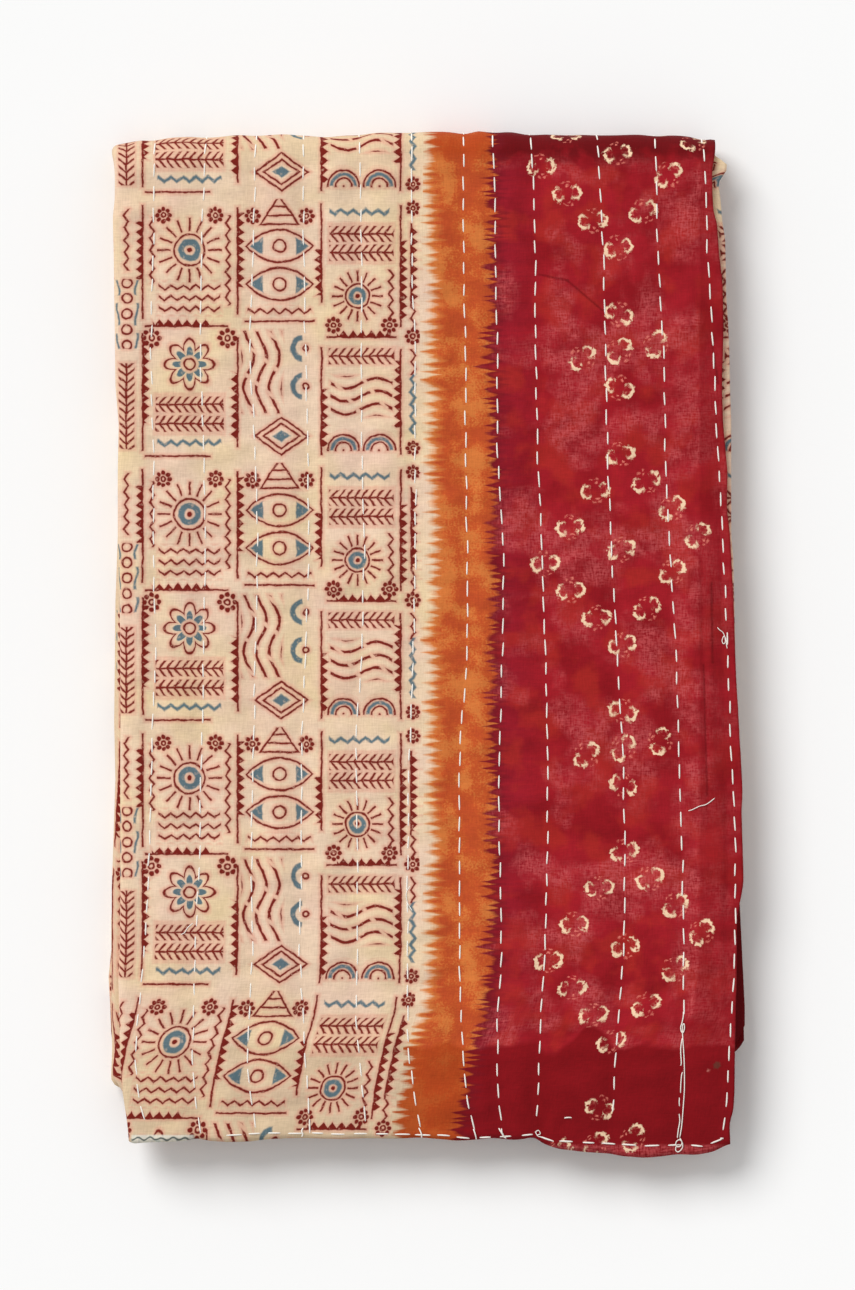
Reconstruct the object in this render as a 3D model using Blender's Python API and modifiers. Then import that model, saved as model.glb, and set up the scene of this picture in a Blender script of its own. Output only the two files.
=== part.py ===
"""A kantha quilt, folded in half twice lengthwise and twice crosswise, lying on a flat surface.

The cloth is one grid. A quarter fold turns its width into four layers, a second one turns that
ribbon's length into four legs, and Solidify gives the grid the cloth's thickness. Lengths are
in metres. Seen from above, +X is right and +Y points to the folded end. +Z is up.
"""

import math

import bmesh
import bpy
from mathutils import Vector

MM = 0.001

# Cloth
CLOTH = 1.2 * MM  # thickness of the stitched layers
GAP = 0.4 * MM  # air between two layers
LAYER = CLOTH + GAP  # height that a layer takes
LEG = 4 * LAYER  # height that a leg of four layers takes
SWELL = 0.8 * MM  # how far the face swells between two rows of stitches
COLOUR = (0.42, 0.12, 0.07, 1.0)
ROUGHNESS = 0.9

# How far the outside of a fold lies past the middle of its turn
OUTER_ROOM = 1.5 * LAYER + CLOTH / 2  # the outer turn of the width
OPEN_ROOM = 0.5 * LAYER + CLOTH / 2  # the turn at the width's open side
FOLDED_ROOM = 1.5 * LEG + OUTER_ROOM  # the outer turn of the length
UNDER_ROOM = 0.5 * LEG + OUTER_ROOM  # the turn at the length's open end

# How the open ends of the upper two legs sink past the fold of the lower two
SAG = 3.0  # metres of sinking for each square metre of reach past that fold
SAG_STEPS = 7  # stations in the part that sinks
SAG_SHARE = 0.13  # the share of the leg's length in that part

# Hems that lie behind the ones seen from above
SECOND_HEM_INSET = 2 * MM  # the second layer's long hem
LOWER_HEM_INSET = 4 * MM  # the second leg's hem at the open end

# The runs of a quarter fold, in their order through the cloth, with the steps in each
OUTER_LEG, OUTER_TURN, BOTTOM_LEG, OPEN_TURN, MIDDLE_LEG, INNER_TURN, INNER_LEG = range(7)
RUN_COLUMNS = ("run", "steps across", "steps along")
RUNS = (
    (OUTER_LEG, 26, 16),
    (OUTER_TURN, 6, 8),
    (BOTTOM_LEG, 4, 8),
    (OPEN_TURN, 4, 6),
    (MIDDLE_LEG, 4, 6),
    (INNER_TURN, 4, 5),
    (INNER_LEG, 4, 16),
)

# How far each layer's hem lies behind the edge seen from above, at the open end
LAYER_INSETS = {OUTER_LEG: 0, BOTTOM_LEG: 3 * MM, MIDDLE_LEG: 3 * MM, INNER_LEG: 2 * MM}

# Side edges seen from above, in millimetres from the middle: the top leg's fold on the left, its
# hem and the fold under that hem on the right, and the two sides of the legs below.
SIDE_COLUMNS = ("y", "left", "hem", "fold", "under left", "under right")
SIDES = (
    (253, -157, 143, 143, -157, 143),
    (240, -156, 142, 148, -156, 143),
    (215, -156, 143, 147, -155, 144),
    (190, -157, 147, 149, -155, 146),
    (155, -157, 148, 151, -155, 147),
    (110, -154, 148, 152, -154, 148),
    (70, -155, 150, 152, -155, 149),
    (30, -155, 152, 153, -156, 151),
    (-25, -154, 155, 154, -157, 153),
    (-75, -154, 157, 155, -157, 155),
    (-125, -154, 158, 155, -158, 156),
    (-160, -154, 155, 154, -159, 156),
    (-185, -154, 155, 153, -158, 158),
    (-210, -153, 154, 152, -157, 153),
    (-235, -151, 153, 151, -156, 150),
    (-250, -149, 152, 150, -155, 149),
)

# The folded end seen from above, in millimetres from the middle. It is straight between the
# stations of the inner layers, so that all layers stay parallel around the turn.
END_COLUMNS = ("x", "y")
FOLDED_END = (
    (-154, 250.5),
    (-80, 254),
    (-6, 256.5),
    (68, 254.5),
    (142, 252),
)

# The hem at the open end seen from above, in millimetres from the middle
HEM_END = (
    (-154, -247),
    (-134, -249),
    (-115, -247),
    (-93, -248.5),
    (-66, -246.5),
    (-20, -247),
    (20, -248),
    (40, -246.5),
    (54, -246.5),
    (66, -252),
    (108, -256.5),
    (135, -255),
    (151, -250),
)

# The fold of the lower two legs at the open end, a straight line in millimetres from the middle
UNDER_END = (
    (-158, -222),
    (158, -200),
)

# Rows of stitches across the face, from left to right, in millimetres from the middle: their
# places at the folded end, halfway and at the hem.
ROW_COLUMNS = ("x at folded end", "x halfway", "x at hem")
ROWS = (
    (-138, -139, -144),
    (-112, -111, -115),
    (-86, -85, -89),
    (-61, -60, -62),
    (-34, -32, -33),
    (-8, -7, -8),
    (18, 19, 18),
    (34, 37, 36),
    (52, 58, 57),
    (84, 94, 96),
    (114, 124, 128),
    (138, 150, 151),
)
SPACES = len(ROWS) + 1  # channels between the rows and the two side edges


def mix(a, b, share):
    return a + (b - a) * share


def read(table, columns, name, at):
    """The value of one column at a place of the first column, straight between the rows."""
    wanted = columns.index(name)
    rows = sorted(table)
    at = min(max(at / MM, rows[0][0]), rows[-1][0])
    for low, high in zip(rows, rows[1:]):
        if at <= high[0]:
            break
    return mix(low[wanted], high[wanted], (at - low[0]) / (high[0] - low[0])) * MM


def quarter_fold(run, share, pitch):
    """A place on a strip that is folded in half twice, with its four legs a pitch apart.

    It gives the place between the folded side (0) and the open side (1), the reach past that
    place towards the folded side, the height over the middle and the normal (reach, height).
    """
    angle = math.pi * share
    swing, lift = math.sin(angle), math.cos(angle)
    outer, inner = 1.5 * pitch, 0.5 * pitch
    return {
        OUTER_LEG: (1 - share, 0, outer, (0, 1)),
        OUTER_TURN: (0, outer * swing, outer * lift, (swing, lift)),
        BOTTOM_LEG: (share, 0, -outer, (0, -1)),
        OPEN_TURN: (1, -inner * swing, -pitch - inner * lift, (-swing, -lift)),
        MIDDLE_LEG: (1 - share, 0, -inner, (0, 1)),
        INNER_TURN: (0, inner * swing, -inner * lift, (-swing, lift)),
        INNER_LEG: (share, 0, inner, (0, -1)),
    }[run]


def even(steps):
    return [step / steps for step in range(steps + 1)]


def from_hem(steps):
    """Shares of an upper leg from its hem, closer together where it sinks."""
    rest = steps - SAG_STEPS
    sinking = [SAG_SHARE * share for share in even(SAG_STEPS)]
    return sinking + [mix(SAG_SHARE, 1, share) for share in even(rest)[1:]]


def stations_across():
    """Each grid line's (run, share of the run) in the width's quarter fold."""
    first = [(OUTER_LEG, 0.0)]
    return first + [(run, share) for run, steps, _ in RUNS for share in even(steps)[1:]]


def stations_along():
    """Each grid line's (run, share of the run) in the length's quarter fold."""
    found = [(OUTER_LEG, 0.0)]
    for run, _, steps in RUNS:
        shares = even(steps)
        if run == OUTER_LEG:
            shares = from_hem(steps)
        if run == INNER_LEG:
            shares = [1 - share for share in reversed(from_hem(steps))]
        found += [(run, share) for share in shares[1:]]
    return found


def row_x(row, y):
    """Where a row of stitches lies at a height y on the face."""
    at_folded_end, halfway, at_hem = row
    share = y / (SIDES[0][0] * MM)
    return mix(halfway, at_folded_end if share > 0 else at_hem, abs(share)) * MM


def face_share(share, y):
    """The place of an outer layer's station between its left edge (0) and its hem (1).

    Every second station lies on a row of stitches, and the others lie midway between rows.
    """
    hem, left = (read(SIDES, SIDE_COLUMNS, name, y) for name in ("hem", "left"))
    lines = [hem] + [row_x(row, y) for row in reversed(ROWS)] + [left]
    first = min(int(share * SPACES), SPACES - 1)
    x = mix(lines[first], lines[first + 1], share * SPACES - first)
    return (x - left) / (hem - left)


def place_across(run, share, run_along, y):
    """The x of a station, from the edges that its leg has at that height."""
    in_width, reach, _, _ = quarter_fold(run, share, LAYER)
    names = ("left", "fold", "hem")
    if run_along != OUTER_LEG:
        names = ("under left", "under right", "under right")
    left, fold, hem = (read(SIDES, SIDE_COLUMNS, name, y) for name in names)
    turned = left + OUTER_ROOM
    if run == OUTER_LEG:
        return mix(turned, hem, face_share(share, y))
    if run == INNER_LEG:
        return mix(turned, hem - SECOND_HEM_INSET, in_width)
    return mix(turned, fold - OPEN_ROOM, in_width) - reach


def layer_inset(run, share):
    """A layer's inset at the open end. Around a turn it goes from one layer's to the next's."""
    if run in LAYER_INSETS:
        return LAYER_INSETS[run]
    return mix(LAYER_INSETS[run - 1], LAYER_INSETS[run + 1], share)


def open_end(run, share, run_along, x):
    """The y where a station's leg ends, at its hem or at the middle of its turn."""
    if run_along not in (OUTER_LEG, INNER_LEG):
        return read(UNDER_END, END_COLUMNS, "y", x) + UNDER_ROOM
    lower = LOWER_HEM_INSET if run_along == INNER_LEG else 0
    return read(HEM_END, END_COLUMNS, "y", x) + layer_inset(run, share) + lower


def swelling(run, share, run_along, share_along):
    """How far the quilting lifts the face: nothing on a row, and fading out around the fold."""
    if run != OUTER_LEG or run_along not in (OUTER_LEG, OUTER_TURN):
        return 0
    fade = 1 - share_along if run_along == OUTER_TURN else 1
    return SWELL * fade * abs(math.sin(math.pi * SPACES * share))


def folded(across, along):
    """The place of a grid point: the width's fold, carried along the length's fold."""
    _, _, offset, _ = quarter_fold(*across, LAYER)
    in_length, reach, height, normal = quarter_fold(*along, LEG)
    run_along = along[0]
    offset += swelling(*across, *along)
    x = place_across(*across, run_along, mix(SIDES[0][0], SIDES[-1][0], in_length) * MM)
    turned = read(FOLDED_END, END_COLUMNS, "y", x) - FOLDED_ROOM
    y = mix(turned, open_end(*across, run_along, x), in_length) + reach + normal[0] * offset
    z = height + normal[1] * offset
    if run_along in (OUTER_LEG, INNER_LEG):
        past_fold = max(0.0, read(UNDER_END, END_COLUMNS, "y", x) - y)
        z -= SAG * past_fold * past_fold
    return Vector((x, y, z))


def cotton():
    material = bpy.data.materials.new("quilted cotton")
    material.use_nodes = True
    principled = material.node_tree.nodes["Principled BSDF"]
    principled.inputs["Base Color"].default_value = COLOUR
    principled.inputs["Roughness"].default_value = ROUGHNESS
    principled.inputs["Metallic"].default_value = 0.0
    return material


def quilt(collection):
    """The cloth as a flat grid with a point for each pair of stations, then folded and thickened."""
    widths, lengths = stations_across(), stations_along()
    last = (len(widths) - 1, len(lengths) - 1)
    sheet = bmesh.new()
    bmesh.ops.create_grid(sheet, x_segments=last[0], y_segments=last[1], size=0.5)
    for vertex in sheet.verts:
        across = widths[round((vertex.co.x + 0.5) * last[0])]
        along = lengths[round((vertex.co.y + 0.5) * last[1])]
        vertex.co = folded(across, along)
    mesh = bpy.data.meshes.new("quilt")
    sheet.to_mesh(mesh)
    sheet.free()
    mesh.materials.append(cotton())
    mesh.shade_smooth()
    cloth = bpy.data.objects.new("quilt", mesh)
    collection.objects.link(cloth)
    thickness = cloth.modifiers.new("thickness", "SOLIDIFY")
    thickness.thickness = CLOTH
    thickness.offset = 0
    thickness.use_even_offset = True
    return cloth


def stand_on_origin(cloth):
    """Puts the middle of the underside at the origin."""
    bpy.context.view_layer.update()
    whole = cloth.evaluated_get(bpy.context.evaluated_depsgraph_get())
    corners = [Vector(corner) for corner in whole.bound_box]
    low = Vector(min(corner[axis] for corner in corners) for axis in range(3))
    high = Vector(max(corner[axis] for corner in corners) for axis in range(3))
    cloth.location = -Vector(((low.x + high.x) / 2, (low.y + high.y) / 2, low.z))


def main():
    for leftover in list(bpy.data.objects):
        bpy.data.objects.remove(leftover)
    collection = bpy.data.collections.new("kantha quilt")
    bpy.context.scene.collection.children.link(collection)
    stand_on_origin(quilt(collection))


main()
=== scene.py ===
"""Looks of the folded kantha quilt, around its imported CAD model.

The cloth is one flat grid that keeps its place on the unfolded quilt in the attribute "flat",
in millimetres, and is then folded in half twice each way, as the CAD solid is. The print, the
stripe and the flowers are procedural materials that read that attribute. Stitches are thread
laid on the folded cloth. Lengths are in metres unless a name or comment says millimetres.
Seen from above, +X is right, +Y points to the folded end and +Z is up.
"""

import math
import random

import bpy
import numpy as np
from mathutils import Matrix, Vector


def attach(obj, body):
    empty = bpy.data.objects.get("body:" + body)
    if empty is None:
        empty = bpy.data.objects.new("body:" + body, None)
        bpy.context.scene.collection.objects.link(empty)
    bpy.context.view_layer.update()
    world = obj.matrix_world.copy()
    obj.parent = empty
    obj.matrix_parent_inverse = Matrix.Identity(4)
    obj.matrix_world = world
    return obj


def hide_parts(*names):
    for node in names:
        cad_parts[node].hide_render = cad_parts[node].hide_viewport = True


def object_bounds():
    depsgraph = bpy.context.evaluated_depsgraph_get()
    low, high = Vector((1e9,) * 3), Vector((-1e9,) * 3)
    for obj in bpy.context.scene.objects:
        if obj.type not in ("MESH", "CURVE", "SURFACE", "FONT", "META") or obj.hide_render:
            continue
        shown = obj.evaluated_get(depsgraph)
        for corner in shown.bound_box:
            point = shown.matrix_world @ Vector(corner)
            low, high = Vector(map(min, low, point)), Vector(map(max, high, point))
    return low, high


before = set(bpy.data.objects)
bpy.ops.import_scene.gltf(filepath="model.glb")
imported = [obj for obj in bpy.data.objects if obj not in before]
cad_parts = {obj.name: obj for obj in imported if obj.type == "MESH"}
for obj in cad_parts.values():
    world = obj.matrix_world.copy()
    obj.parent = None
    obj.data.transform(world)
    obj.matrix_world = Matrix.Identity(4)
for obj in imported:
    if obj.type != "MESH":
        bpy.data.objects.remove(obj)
cad_low, cad_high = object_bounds()

MM = 0.001

# ---------------- sizes of the folds, as in the CAD

CLOTH = 1.2 * MM  # thickness of the stitched layers
GAP = 0.4 * MM  # air between two layers
LAYER = CLOTH + GAP  # height that a layer takes
LEG = 4 * LAYER  # height that a leg of four layers takes

# How far the outside of a fold lies past the middle of its turn
OUTER_ROOM = 1.5 * LAYER + CLOTH / 2
OPEN_ROOM = 0.5 * LAYER + CLOTH / 2
FOLDED_ROOM = 1.5 * LEG + OUTER_ROOM
UNDER_ROOM = 0.5 * LEG + OUTER_ROOM

SAG = 3.0  # metres that the open ends sink, for each square metre of reach past the under fold
SAG_STEPS = 13  # grid steps in the part that sinks
SAG_SHARE = 0.13  # the share of the leg's length in that part
SECOND_HEM_INSET = 2 * MM  # how far a leg's lower hem lies inside its upper one, at the right
SECOND_LEG_INSET = 4 * MM  # how far the second leg's hem lies inside the face's, at the open end

# Runs of a quarter fold in their order through the cloth, with the grid's steps in each
OUTER_LEG, OUTER_TURN, BOTTOM_LEG, OPEN_TURN, MIDDLE_LEG, INNER_TURN, INNER_LEG = range(7)
STEPS_ACROSS = (154, 7, 5, 7, 5, 5, 5)
STEPS_ALONG = (190, 12, 20, 6, 9, 5, 20)
HEM_STEPS = 24  # of the first run across, in the part beside the hem
HEM_SHARE = 0.09  # the share of the width in that part
HEM_BENDS = (0, 0.25, 0.49, 0.677, 0.79, 1)  # shares of the width where the hem bends
LEG_CROWDING = 1.6  # the lower legs' grid lines crowd towards their open end by this power

# Insets of the hems at the open end in millimetres, at the ends of each run across the width
LAYER_INSETS = (0, 0, 3, 3, 3, 3, 2, 2)

# Whether the cloth's first layer lies face down, at the ends of each run along the length
FACE_DOWN = (0, 0, 1, 1, 0, 0, 1, 1)

UNDER_FOLD_INSET = 5.5 * MM  # of the cream fold behind the hem, on the legs below
INSET_START = -100  # millimetres: y where that fold starts to draw in
INSET_REACH = 25  # millimetres over which it does
RAGGED = 0.4 * MM  # unevenness of the edges of hidden layers
RAGGED_WAVES = ((19, 2.1, 1), (7.3, 4.7, 0.6))  # millimetres for a radian, layer's phase, height
RAGGED_SIDE = (1.3, 1.5)  # the waves of the folded sides, shorter and higher by these factors
SECOND_HEM_SHIFT = 1.5  # shifts that give the second hem and the second leg other waves
SECOND_LEG_SHIFT = 1.3
FOLD_SLACK = 0.6 * MM  # how far the lower legs' folded sides are drawn in on average
UNEVEN = 0.35 * MM  # how far the legs' heights in the stack vary
LOFT = 0.014  # the share by which the stack's height varies from place to place
PAST_FOLD = 0.30  # metres along the flat quilt, where the relief has died out
RAW_TO_CAD = (0.377 * MM, -0.077 * MM, 12.6 * MM)  # from the photo's middle to the CAD's origin

# The flat quilt, in millimetres across its width
QUILT_CENTRE = -465
PRINT_WIDTH = 462  # from the centre to where the print's material ends

# Heights on the face, in millimetres
FACE_TOP = 253  # of the folded end
FACE_BOTTOM = -250  # of the hems at the open end
TURN_START = 241.5  # where the cloth starts to turn down at the folded end

# Edges seen in the photo, in millimetres from its middle: (y, x) for sides, (x, y) for ends
LEFT_FOLD = (
    (253, -158.9), (247, -157.3), (240, -156.5), (226.5, -156.5), (217.5, -157.5), (197.5, -157),
    (159, -156.5), (132.5, -156.2), (112.5, -154.5), (88, -155), (56.5, -155), (22, -154),
    (-37.5, -153.7), (-119, -153.7), (-152.5, -154), (-167.5, -154.7), (-202.5, -153.9),
    (-215.5, -153.5), (-224.5, -152.7), (-233, -151.4), (-240, -150.4), (-250, -149.5),
)
RIGHT_HEM = (
    (253, 145), (246, 143.9), (240, 142.3), (226.5, 142.5), (217.5, 143), (213, 144.7),
    (197.5, 145.7), (182.5, 147.5), (159, 148), (132.5, 147.2), (112.5, 147.7), (88, 150),
    (69, 149.7), (56.5, 151.2), (22, 153), (-13.5, 154.2), (-37.5, 155.5), (-72, 157.5),
    (-83.5, 157), (-119, 158), (-137.5, 154.7), (-167.5, 154.5), (-202.5, 153.7), (-224.5, 153.5),
    (-233, 153), (-240, 151), (-250, 151.5),
)
RIGHT_FOLD = (
    (253, 143.5), (247, 143.5), (243, 149.6), (240, 150.4), (237, 148.6), (233.5, 145.4),
    (223.5, 146.7), (213, 147.5), (204, 149), (175, 149.5), (161, 150.5), (149, 151),
    (125.5, 151.5), (112.5, 152), (54.5, 152), (42.5, 153), (-2, 154), (-40, 154.5), (-75, 155.5),
    (-120, 155.5), (-150, 153), (-200, 152), (-250, 150),
)
UNDER_LEFT = (
    (253, -158.9), (247, -156.6), (240, -155.5), (160, -154.5), (60, -154.5), (42.5, -156),
    (-1.5, -156.4), (-30, -156.9), (-72, -156.8), (-98, -157.3), (-113, -157.8), (-134, -158.6),
    (-158, -159.5), (-170, -160), (-182, -159.5), (-203, -158.3), (-219, -158.6),
    (-222.5, -157.6), (-228, -151.5), (-235, -150.3), (-250, -149),
)
UNDER_RIGHT = (
    (253, 143), (240, 143), (215, 144), (190, 146), (155, 147), (110, 148), (70, 149), (30, 151),
    (-25, 153), (-75, 155), (-120, 155.5), (-127.5, 156.7), (-134.5, 155.5), (-160, 154.6),
    (-171, 155.4), (-179, 158), (-197, 158.5), (-200, 157.8), (-203.5, 154), (-212, 153),
    (-235, 150), (-250, 149),
)
FOLDED_END = (
    (-161, 251.4), (-158, 250.3), (-153.5, 250.7), (-144.2, 252.2), (-127.2, 253.3),
    (-111, 254.3), (-103.7, 254), (-85.2, 254.9), (-62, 255.3), (-49, 254.2), (-40, 255),
    (-22.7, 256.2), (7.2, 256.9), (18.7, 255.8), (32.2, 256.6), (47.2, 255.7), (64.7, 255.2),
    (98.7, 255.3), (114.7, 255), (131, 254.2), (137.6, 252.9), (140.5, 252.8), (143.7, 252.7),
)
HEM_END = (
    (-150, -249.6), (-146.7, -249.2), (-134.2, -248.5), (-122.7, -248), (-115.2, -246.6),
    (-109.2, -247.8), (-99.7, -248.4), (-89.2, -248.2), (-80.7, -247), (-65.2, -246.4),
    (-44.2, -247.1), (-31.7, -246.6), (-13.2, -246.8), (-3.2, -246.2), (14.7, -248),
    (24.2, -247.3), (32.7, -246.4), (43.7, -247.5), (53.7, -246), (57.2, -249), (65.7, -252),
    (78.7, -253.5), (90.7, -254.3), (98.2, -255.8), (108.7, -256.5), (117.2, -255.7),
    (124.2, -254.8), (134.7, -255), (143.2, -253.4), (147.7, -251), (151.2, -249.4),
)
UNDER_END = ((-158, -222), (158, -204))

# Rows of stitches: x at each of these heights y, in millimetres
ROW_HEIGHTS = (252, 197, 147, 97, 47, -3, -53, -103, -153, -188, -208, -228, -248)
ROWS = (
    (-137, -137, -138.5, -137, -137, -136, -138, -139, -141.5, -145, -146, -144, -139),
    (-111, -113, -113.5, -112, -111, -112, -113, -114, -116, -117, -118, -116, -113),
    (-86, -87, -89, -86, -85, -86, -87, -88, -87.5, -89, -90, -88, -85),
    (-62, -62, -61, -60, -59, -61, -63, -63, -64, -62, -61, -59.5, -59),
    (-34, -33, -33, -33, -31.5, -33, -36, -35, -35, -36, -34, -32, -31),
    (-8, -8, -6, -6, -6, -7, -9, -10, -10, -10, -9, -6, -3),
    (18, 18, 19, 19, 20, 20, 16, 16, 16, 17, 18, 20, 25),
    (33, 34, 35, 35, 38, 37.5, 36, 36, 37, 35, 35, 35.5, 38),
    (52, 54, 54, 55, 57, 59, 60, 60, 59, 56.5, 56, 55, 54),
    (85, 88, 89, 90, 92, 95, 97.5, 99, 98, 95.5, 94, 93, 91.5),
    (114, 115, 118, 119, 121, 124.5, 125.5, 127.5, 128, 128, 127, 126.5, 125.5),
    (138, 140, 143, 145, 148, 150, 152, 154, 154, 151.5, 150.5, 150, 147),
)
FLOAT_ROW = 10  # the row that ends in a long loose thread
FLOAT_TOP = -186 * MM

# The print slants to the left near the hem: (y, x) of the shift in millimetres
DRIFT = ((253, 0), (-150, 0), (-170, -1), (-185, -3.5), (-200, -8), (-222, -12.5), (-250, -16))

# ---------------- sizes of the relief

SWELL = 1.25 * MM  # how far the face swells between two rows
SWELL_REACH = 6 * MM  # from a row to where the face has swollen
PUCKER = 0.34 * MM  # how far the cloth is drawn in at a stitch
PUCKER_REACH = 4.5 * MM
STITCH_PITCH = 11 * MM  # from stitch to stitch
ROW_PITCHES = (0.95, 1.07)  # factors of that pitch from row to row
RIPPLE_SIZES = (0.6, 1.7)  # factors of the ripples' size
UNDERSIDE_END = 0.70  # where the rows end on the underside, along the flat quilt
HEM_WIDTH = 5 * MM  # of the turned hems
HEM_RISE = 0.35 * MM
HEM_FALL = 1.6  # hem widths from the edge, where the hem's rise has ended
LOWEST_RELIEF = -0.25 * MM
EDGE_FADE = 7 * MM  # the relief fades out at the left fold over this width
EDGE_START = 0.3  # of that width, beside the fold, without any relief
WAVE_AT_ROWS = 0.4  # the share of a wave's height that is left at a row of stitches
CREASE_AT_ENDS = 0.35  # the share of a crease's height that is left at its ends

# Creases and ridges, in millimetres: (x, y) of both ends, half width and height
CREASES = (
    (56, 185, 70, 182, 1.8, -0.7),
    (70, 182, 89, 167, 2.0, -0.8),
    (58, 189, 88, 172, 3.0, 0.5),
    (136.5, 60, 138, -20, 1.1, -0.8),
    (138, -20, 140.5, -90, 1.1, -0.8),
    (140.5, 45, 142.5, -60, 1.5, 0.7),
    (145.5, 120, 148.5, -40, 1.2, -0.7),
    (131, 20, 134, -70, 3.0, 0.6),
    (149, -60, 150, -130, 1.4, -0.6),
    (146, -120, 147.5, -190, 1.5, 0.6),
    (-150, 235, -120, 244, 3.0, 0.9),
    (-152, 226, -124, 232, 2.4, -0.7),
    (-152, 215, -138, 219, 2.4, 0.6),
    (120, 238, 140, 243, 2.5, 0.7),
    (-70, 240, -64, 196, 3.5, 0.5),
    (-44, 246, -48, 205, 3.0, 0.5),
    (5, 215, 9, 120, 3.2, 0.6),
    (26, 232, 24, 170, 2.6, -0.5),
    (-20, 120, -24, 40, 4.0, 0.5),
    (-100, 60, -97, -40, 4.0, 0.5),
    (-74, -60, -77, -140, 4.0, 0.5),
    (44, -224, 57, -244, 2.0, 1.3),
    (50, -218, 57.5, -243, 1.6, -0.9),
    (63, -224, 58, -244, 1.8, -0.8),
    (70, -230, 59, -245, 2.0, 1.0),
    (34, -243, 52, -244, 2.0, 0.7),
    (-60, -205, -10, -199, 5.0, 0.7),
    (-150, -221, -60, -209, 4.0, 0.7),
    (20, -203, 100, -201, 4.0, 0.8),
    (100, -201, 150, -205, 4.0, 0.6),
    (108, -150, 116, -235, 3.0, 0.6),
    (76, -206, 82, -240, 3.0, 0.5),
    (-148, 60, -150, -30, 2.5, -0.6),
    (-147, -60, -149, -150, 2.5, 0.7),
    (-128, -206, -126, -240, 2.6, -0.5),
    (-98, -214, -104, -244, 3.0, 0.5),
    (-20, -214, -17, -242, 3.0, 0.5),
    (74, 70, 78, 0, 5.0, 0.6),
    (110, 96, 112, 20, 4.0, 0.5),
    (72, -60, 76, -140, 4.0, 0.5),
)

# ---------------- tables as smooth curves

CURVE_STEP = 1.0  # millimetres
CURVE_BLUR = 3  # steps on each side


def smooth_curve(points):
    """A function of the place, in metres, that follows a table in millimetres and rounds it off."""
    places, values = np.array(sorted(points), dtype=float).T
    fine = np.arange(places[0], places[-1] + CURVE_STEP, CURVE_STEP)
    weights = np.hanning(2 * CURVE_BLUR + 3)[1:-1]
    padded = np.pad(np.interp(fine, places, values), CURVE_BLUR, mode="edge")
    blurred = np.convolve(padded, weights / weights.sum(), mode="valid")
    return lambda at: np.interp(np.asarray(at) / MM, fine, blurred) * MM


left_fold = smooth_curve(LEFT_FOLD)
right_hem = smooth_curve(RIGHT_HEM)
right_fold = smooth_curve(RIGHT_FOLD)
under_left = smooth_curve(UNDER_LEFT)
under_right = smooth_curve(UNDER_RIGHT)
folded_end = smooth_curve(FOLDED_END)
hem_end = smooth_curve(HEM_END)
under_end = smooth_curve(UNDER_END)
drift = smooth_curve(DRIFT)
row_curves = [smooth_curve(zip(ROW_HEIGHTS, row)) for row in ROWS]


def mix(a, b, share):
    return a + (b - a) * share


def smooth_step(value):
    value = np.clip(value, 0, 1)
    return value * value * (3 - 2 * value)


# ---------------- relief of the face

wrinkle_rng = random.Random(41)


def ripples(count, size, amplitude, slant, spread):
    """Waves in seeded random directions: (turns per metre x, per metre y, phase, amplitude).

    size is a wave's length and amplitude its height in millimetres; the angles are in degrees.
    """
    made = []
    for _ in range(count):
        angle = math.radians(slant + wrinkle_rng.uniform(-spread, spread))
        turns = 1 / (size * MM * wrinkle_rng.uniform(*RIPPLE_SIZES))
        phase = wrinkle_rng.uniform(0, math.tau)
        made.append((turns * math.cos(angle), turns * math.sin(angle), phase, amplitude * MM))
    return made


# Short ripples that run across the rows of stitches, slack between rows, and broad waves
WRINKLES = (
    ripples(18, size=14, amplitude=0.08, slant=90, spread=26)
    + ripples(16, size=34, amplitude=0.14, slant=60, spread=80)
    + ripples(8, size=110, amplitude=0.16, slant=20, spread=90)
)
row_phases = [wrinkle_rng.uniform(0, STITCH_PITCH) for _ in ROWS]
row_pitches = [STITCH_PITCH * wrinkle_rng.uniform(*ROW_PITCHES) for _ in ROWS]


def relief(x, y):
    """How far the face stands out at a place on it; y goes on around the folded end."""
    nearest = np.full(np.broadcast(x, y).shape, 1.0)
    pucker = np.zeros_like(nearest)
    for curve, phase, pitch in zip(row_curves, row_phases, row_pitches):
        distance = np.abs(x - curve(y))
        nearest = np.minimum(nearest, distance)
        drawn = np.cos(math.tau * (y - phase) / pitch)
        pucker -= PUCKER * drawn * np.exp(-((distance / PUCKER_REACH) ** 2))
    slack = 1 - np.exp(-((nearest / SWELL_REACH) ** 2))
    height = SWELL * slack + pucker
    for along_x, along_y, phase, amplitude in WRINKLES:
        wave = np.sin(math.tau * (x * along_x + y * along_y) + phase)
        height += amplitude * wave * mix(WAVE_AT_ROWS, 1, slack)
    for x0, y0, x1, y1, half_width, rise in CREASES:
        run = np.array((x1 - x0, y1 - y0)) * MM
        share = ((x - x0 * MM) * run[0] + (y - y0 * MM) * run[1]) / (run @ run)
        share = np.clip(share, 0, 1)
        away = np.hypot(x - x0 * MM - share * run[0], y - y0 * MM - share * run[1])
        body = mix(CREASE_AT_ENDS, 1, np.sin(math.pi * share))
        height += rise * MM * body * np.exp(-((away / (half_width * MM)) ** 2))
    from_hem = np.minimum(right_hem(y) - x, y - hem_end(x))
    height += HEM_RISE * smooth_step(HEM_FALL - from_hem / HEM_WIDTH)
    fade = smooth_step((x - left_fold(y)) / EDGE_FADE - EDGE_START)
    return np.maximum(height, LOWEST_RELIEF) * fade


# ---------------- the fold


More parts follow.
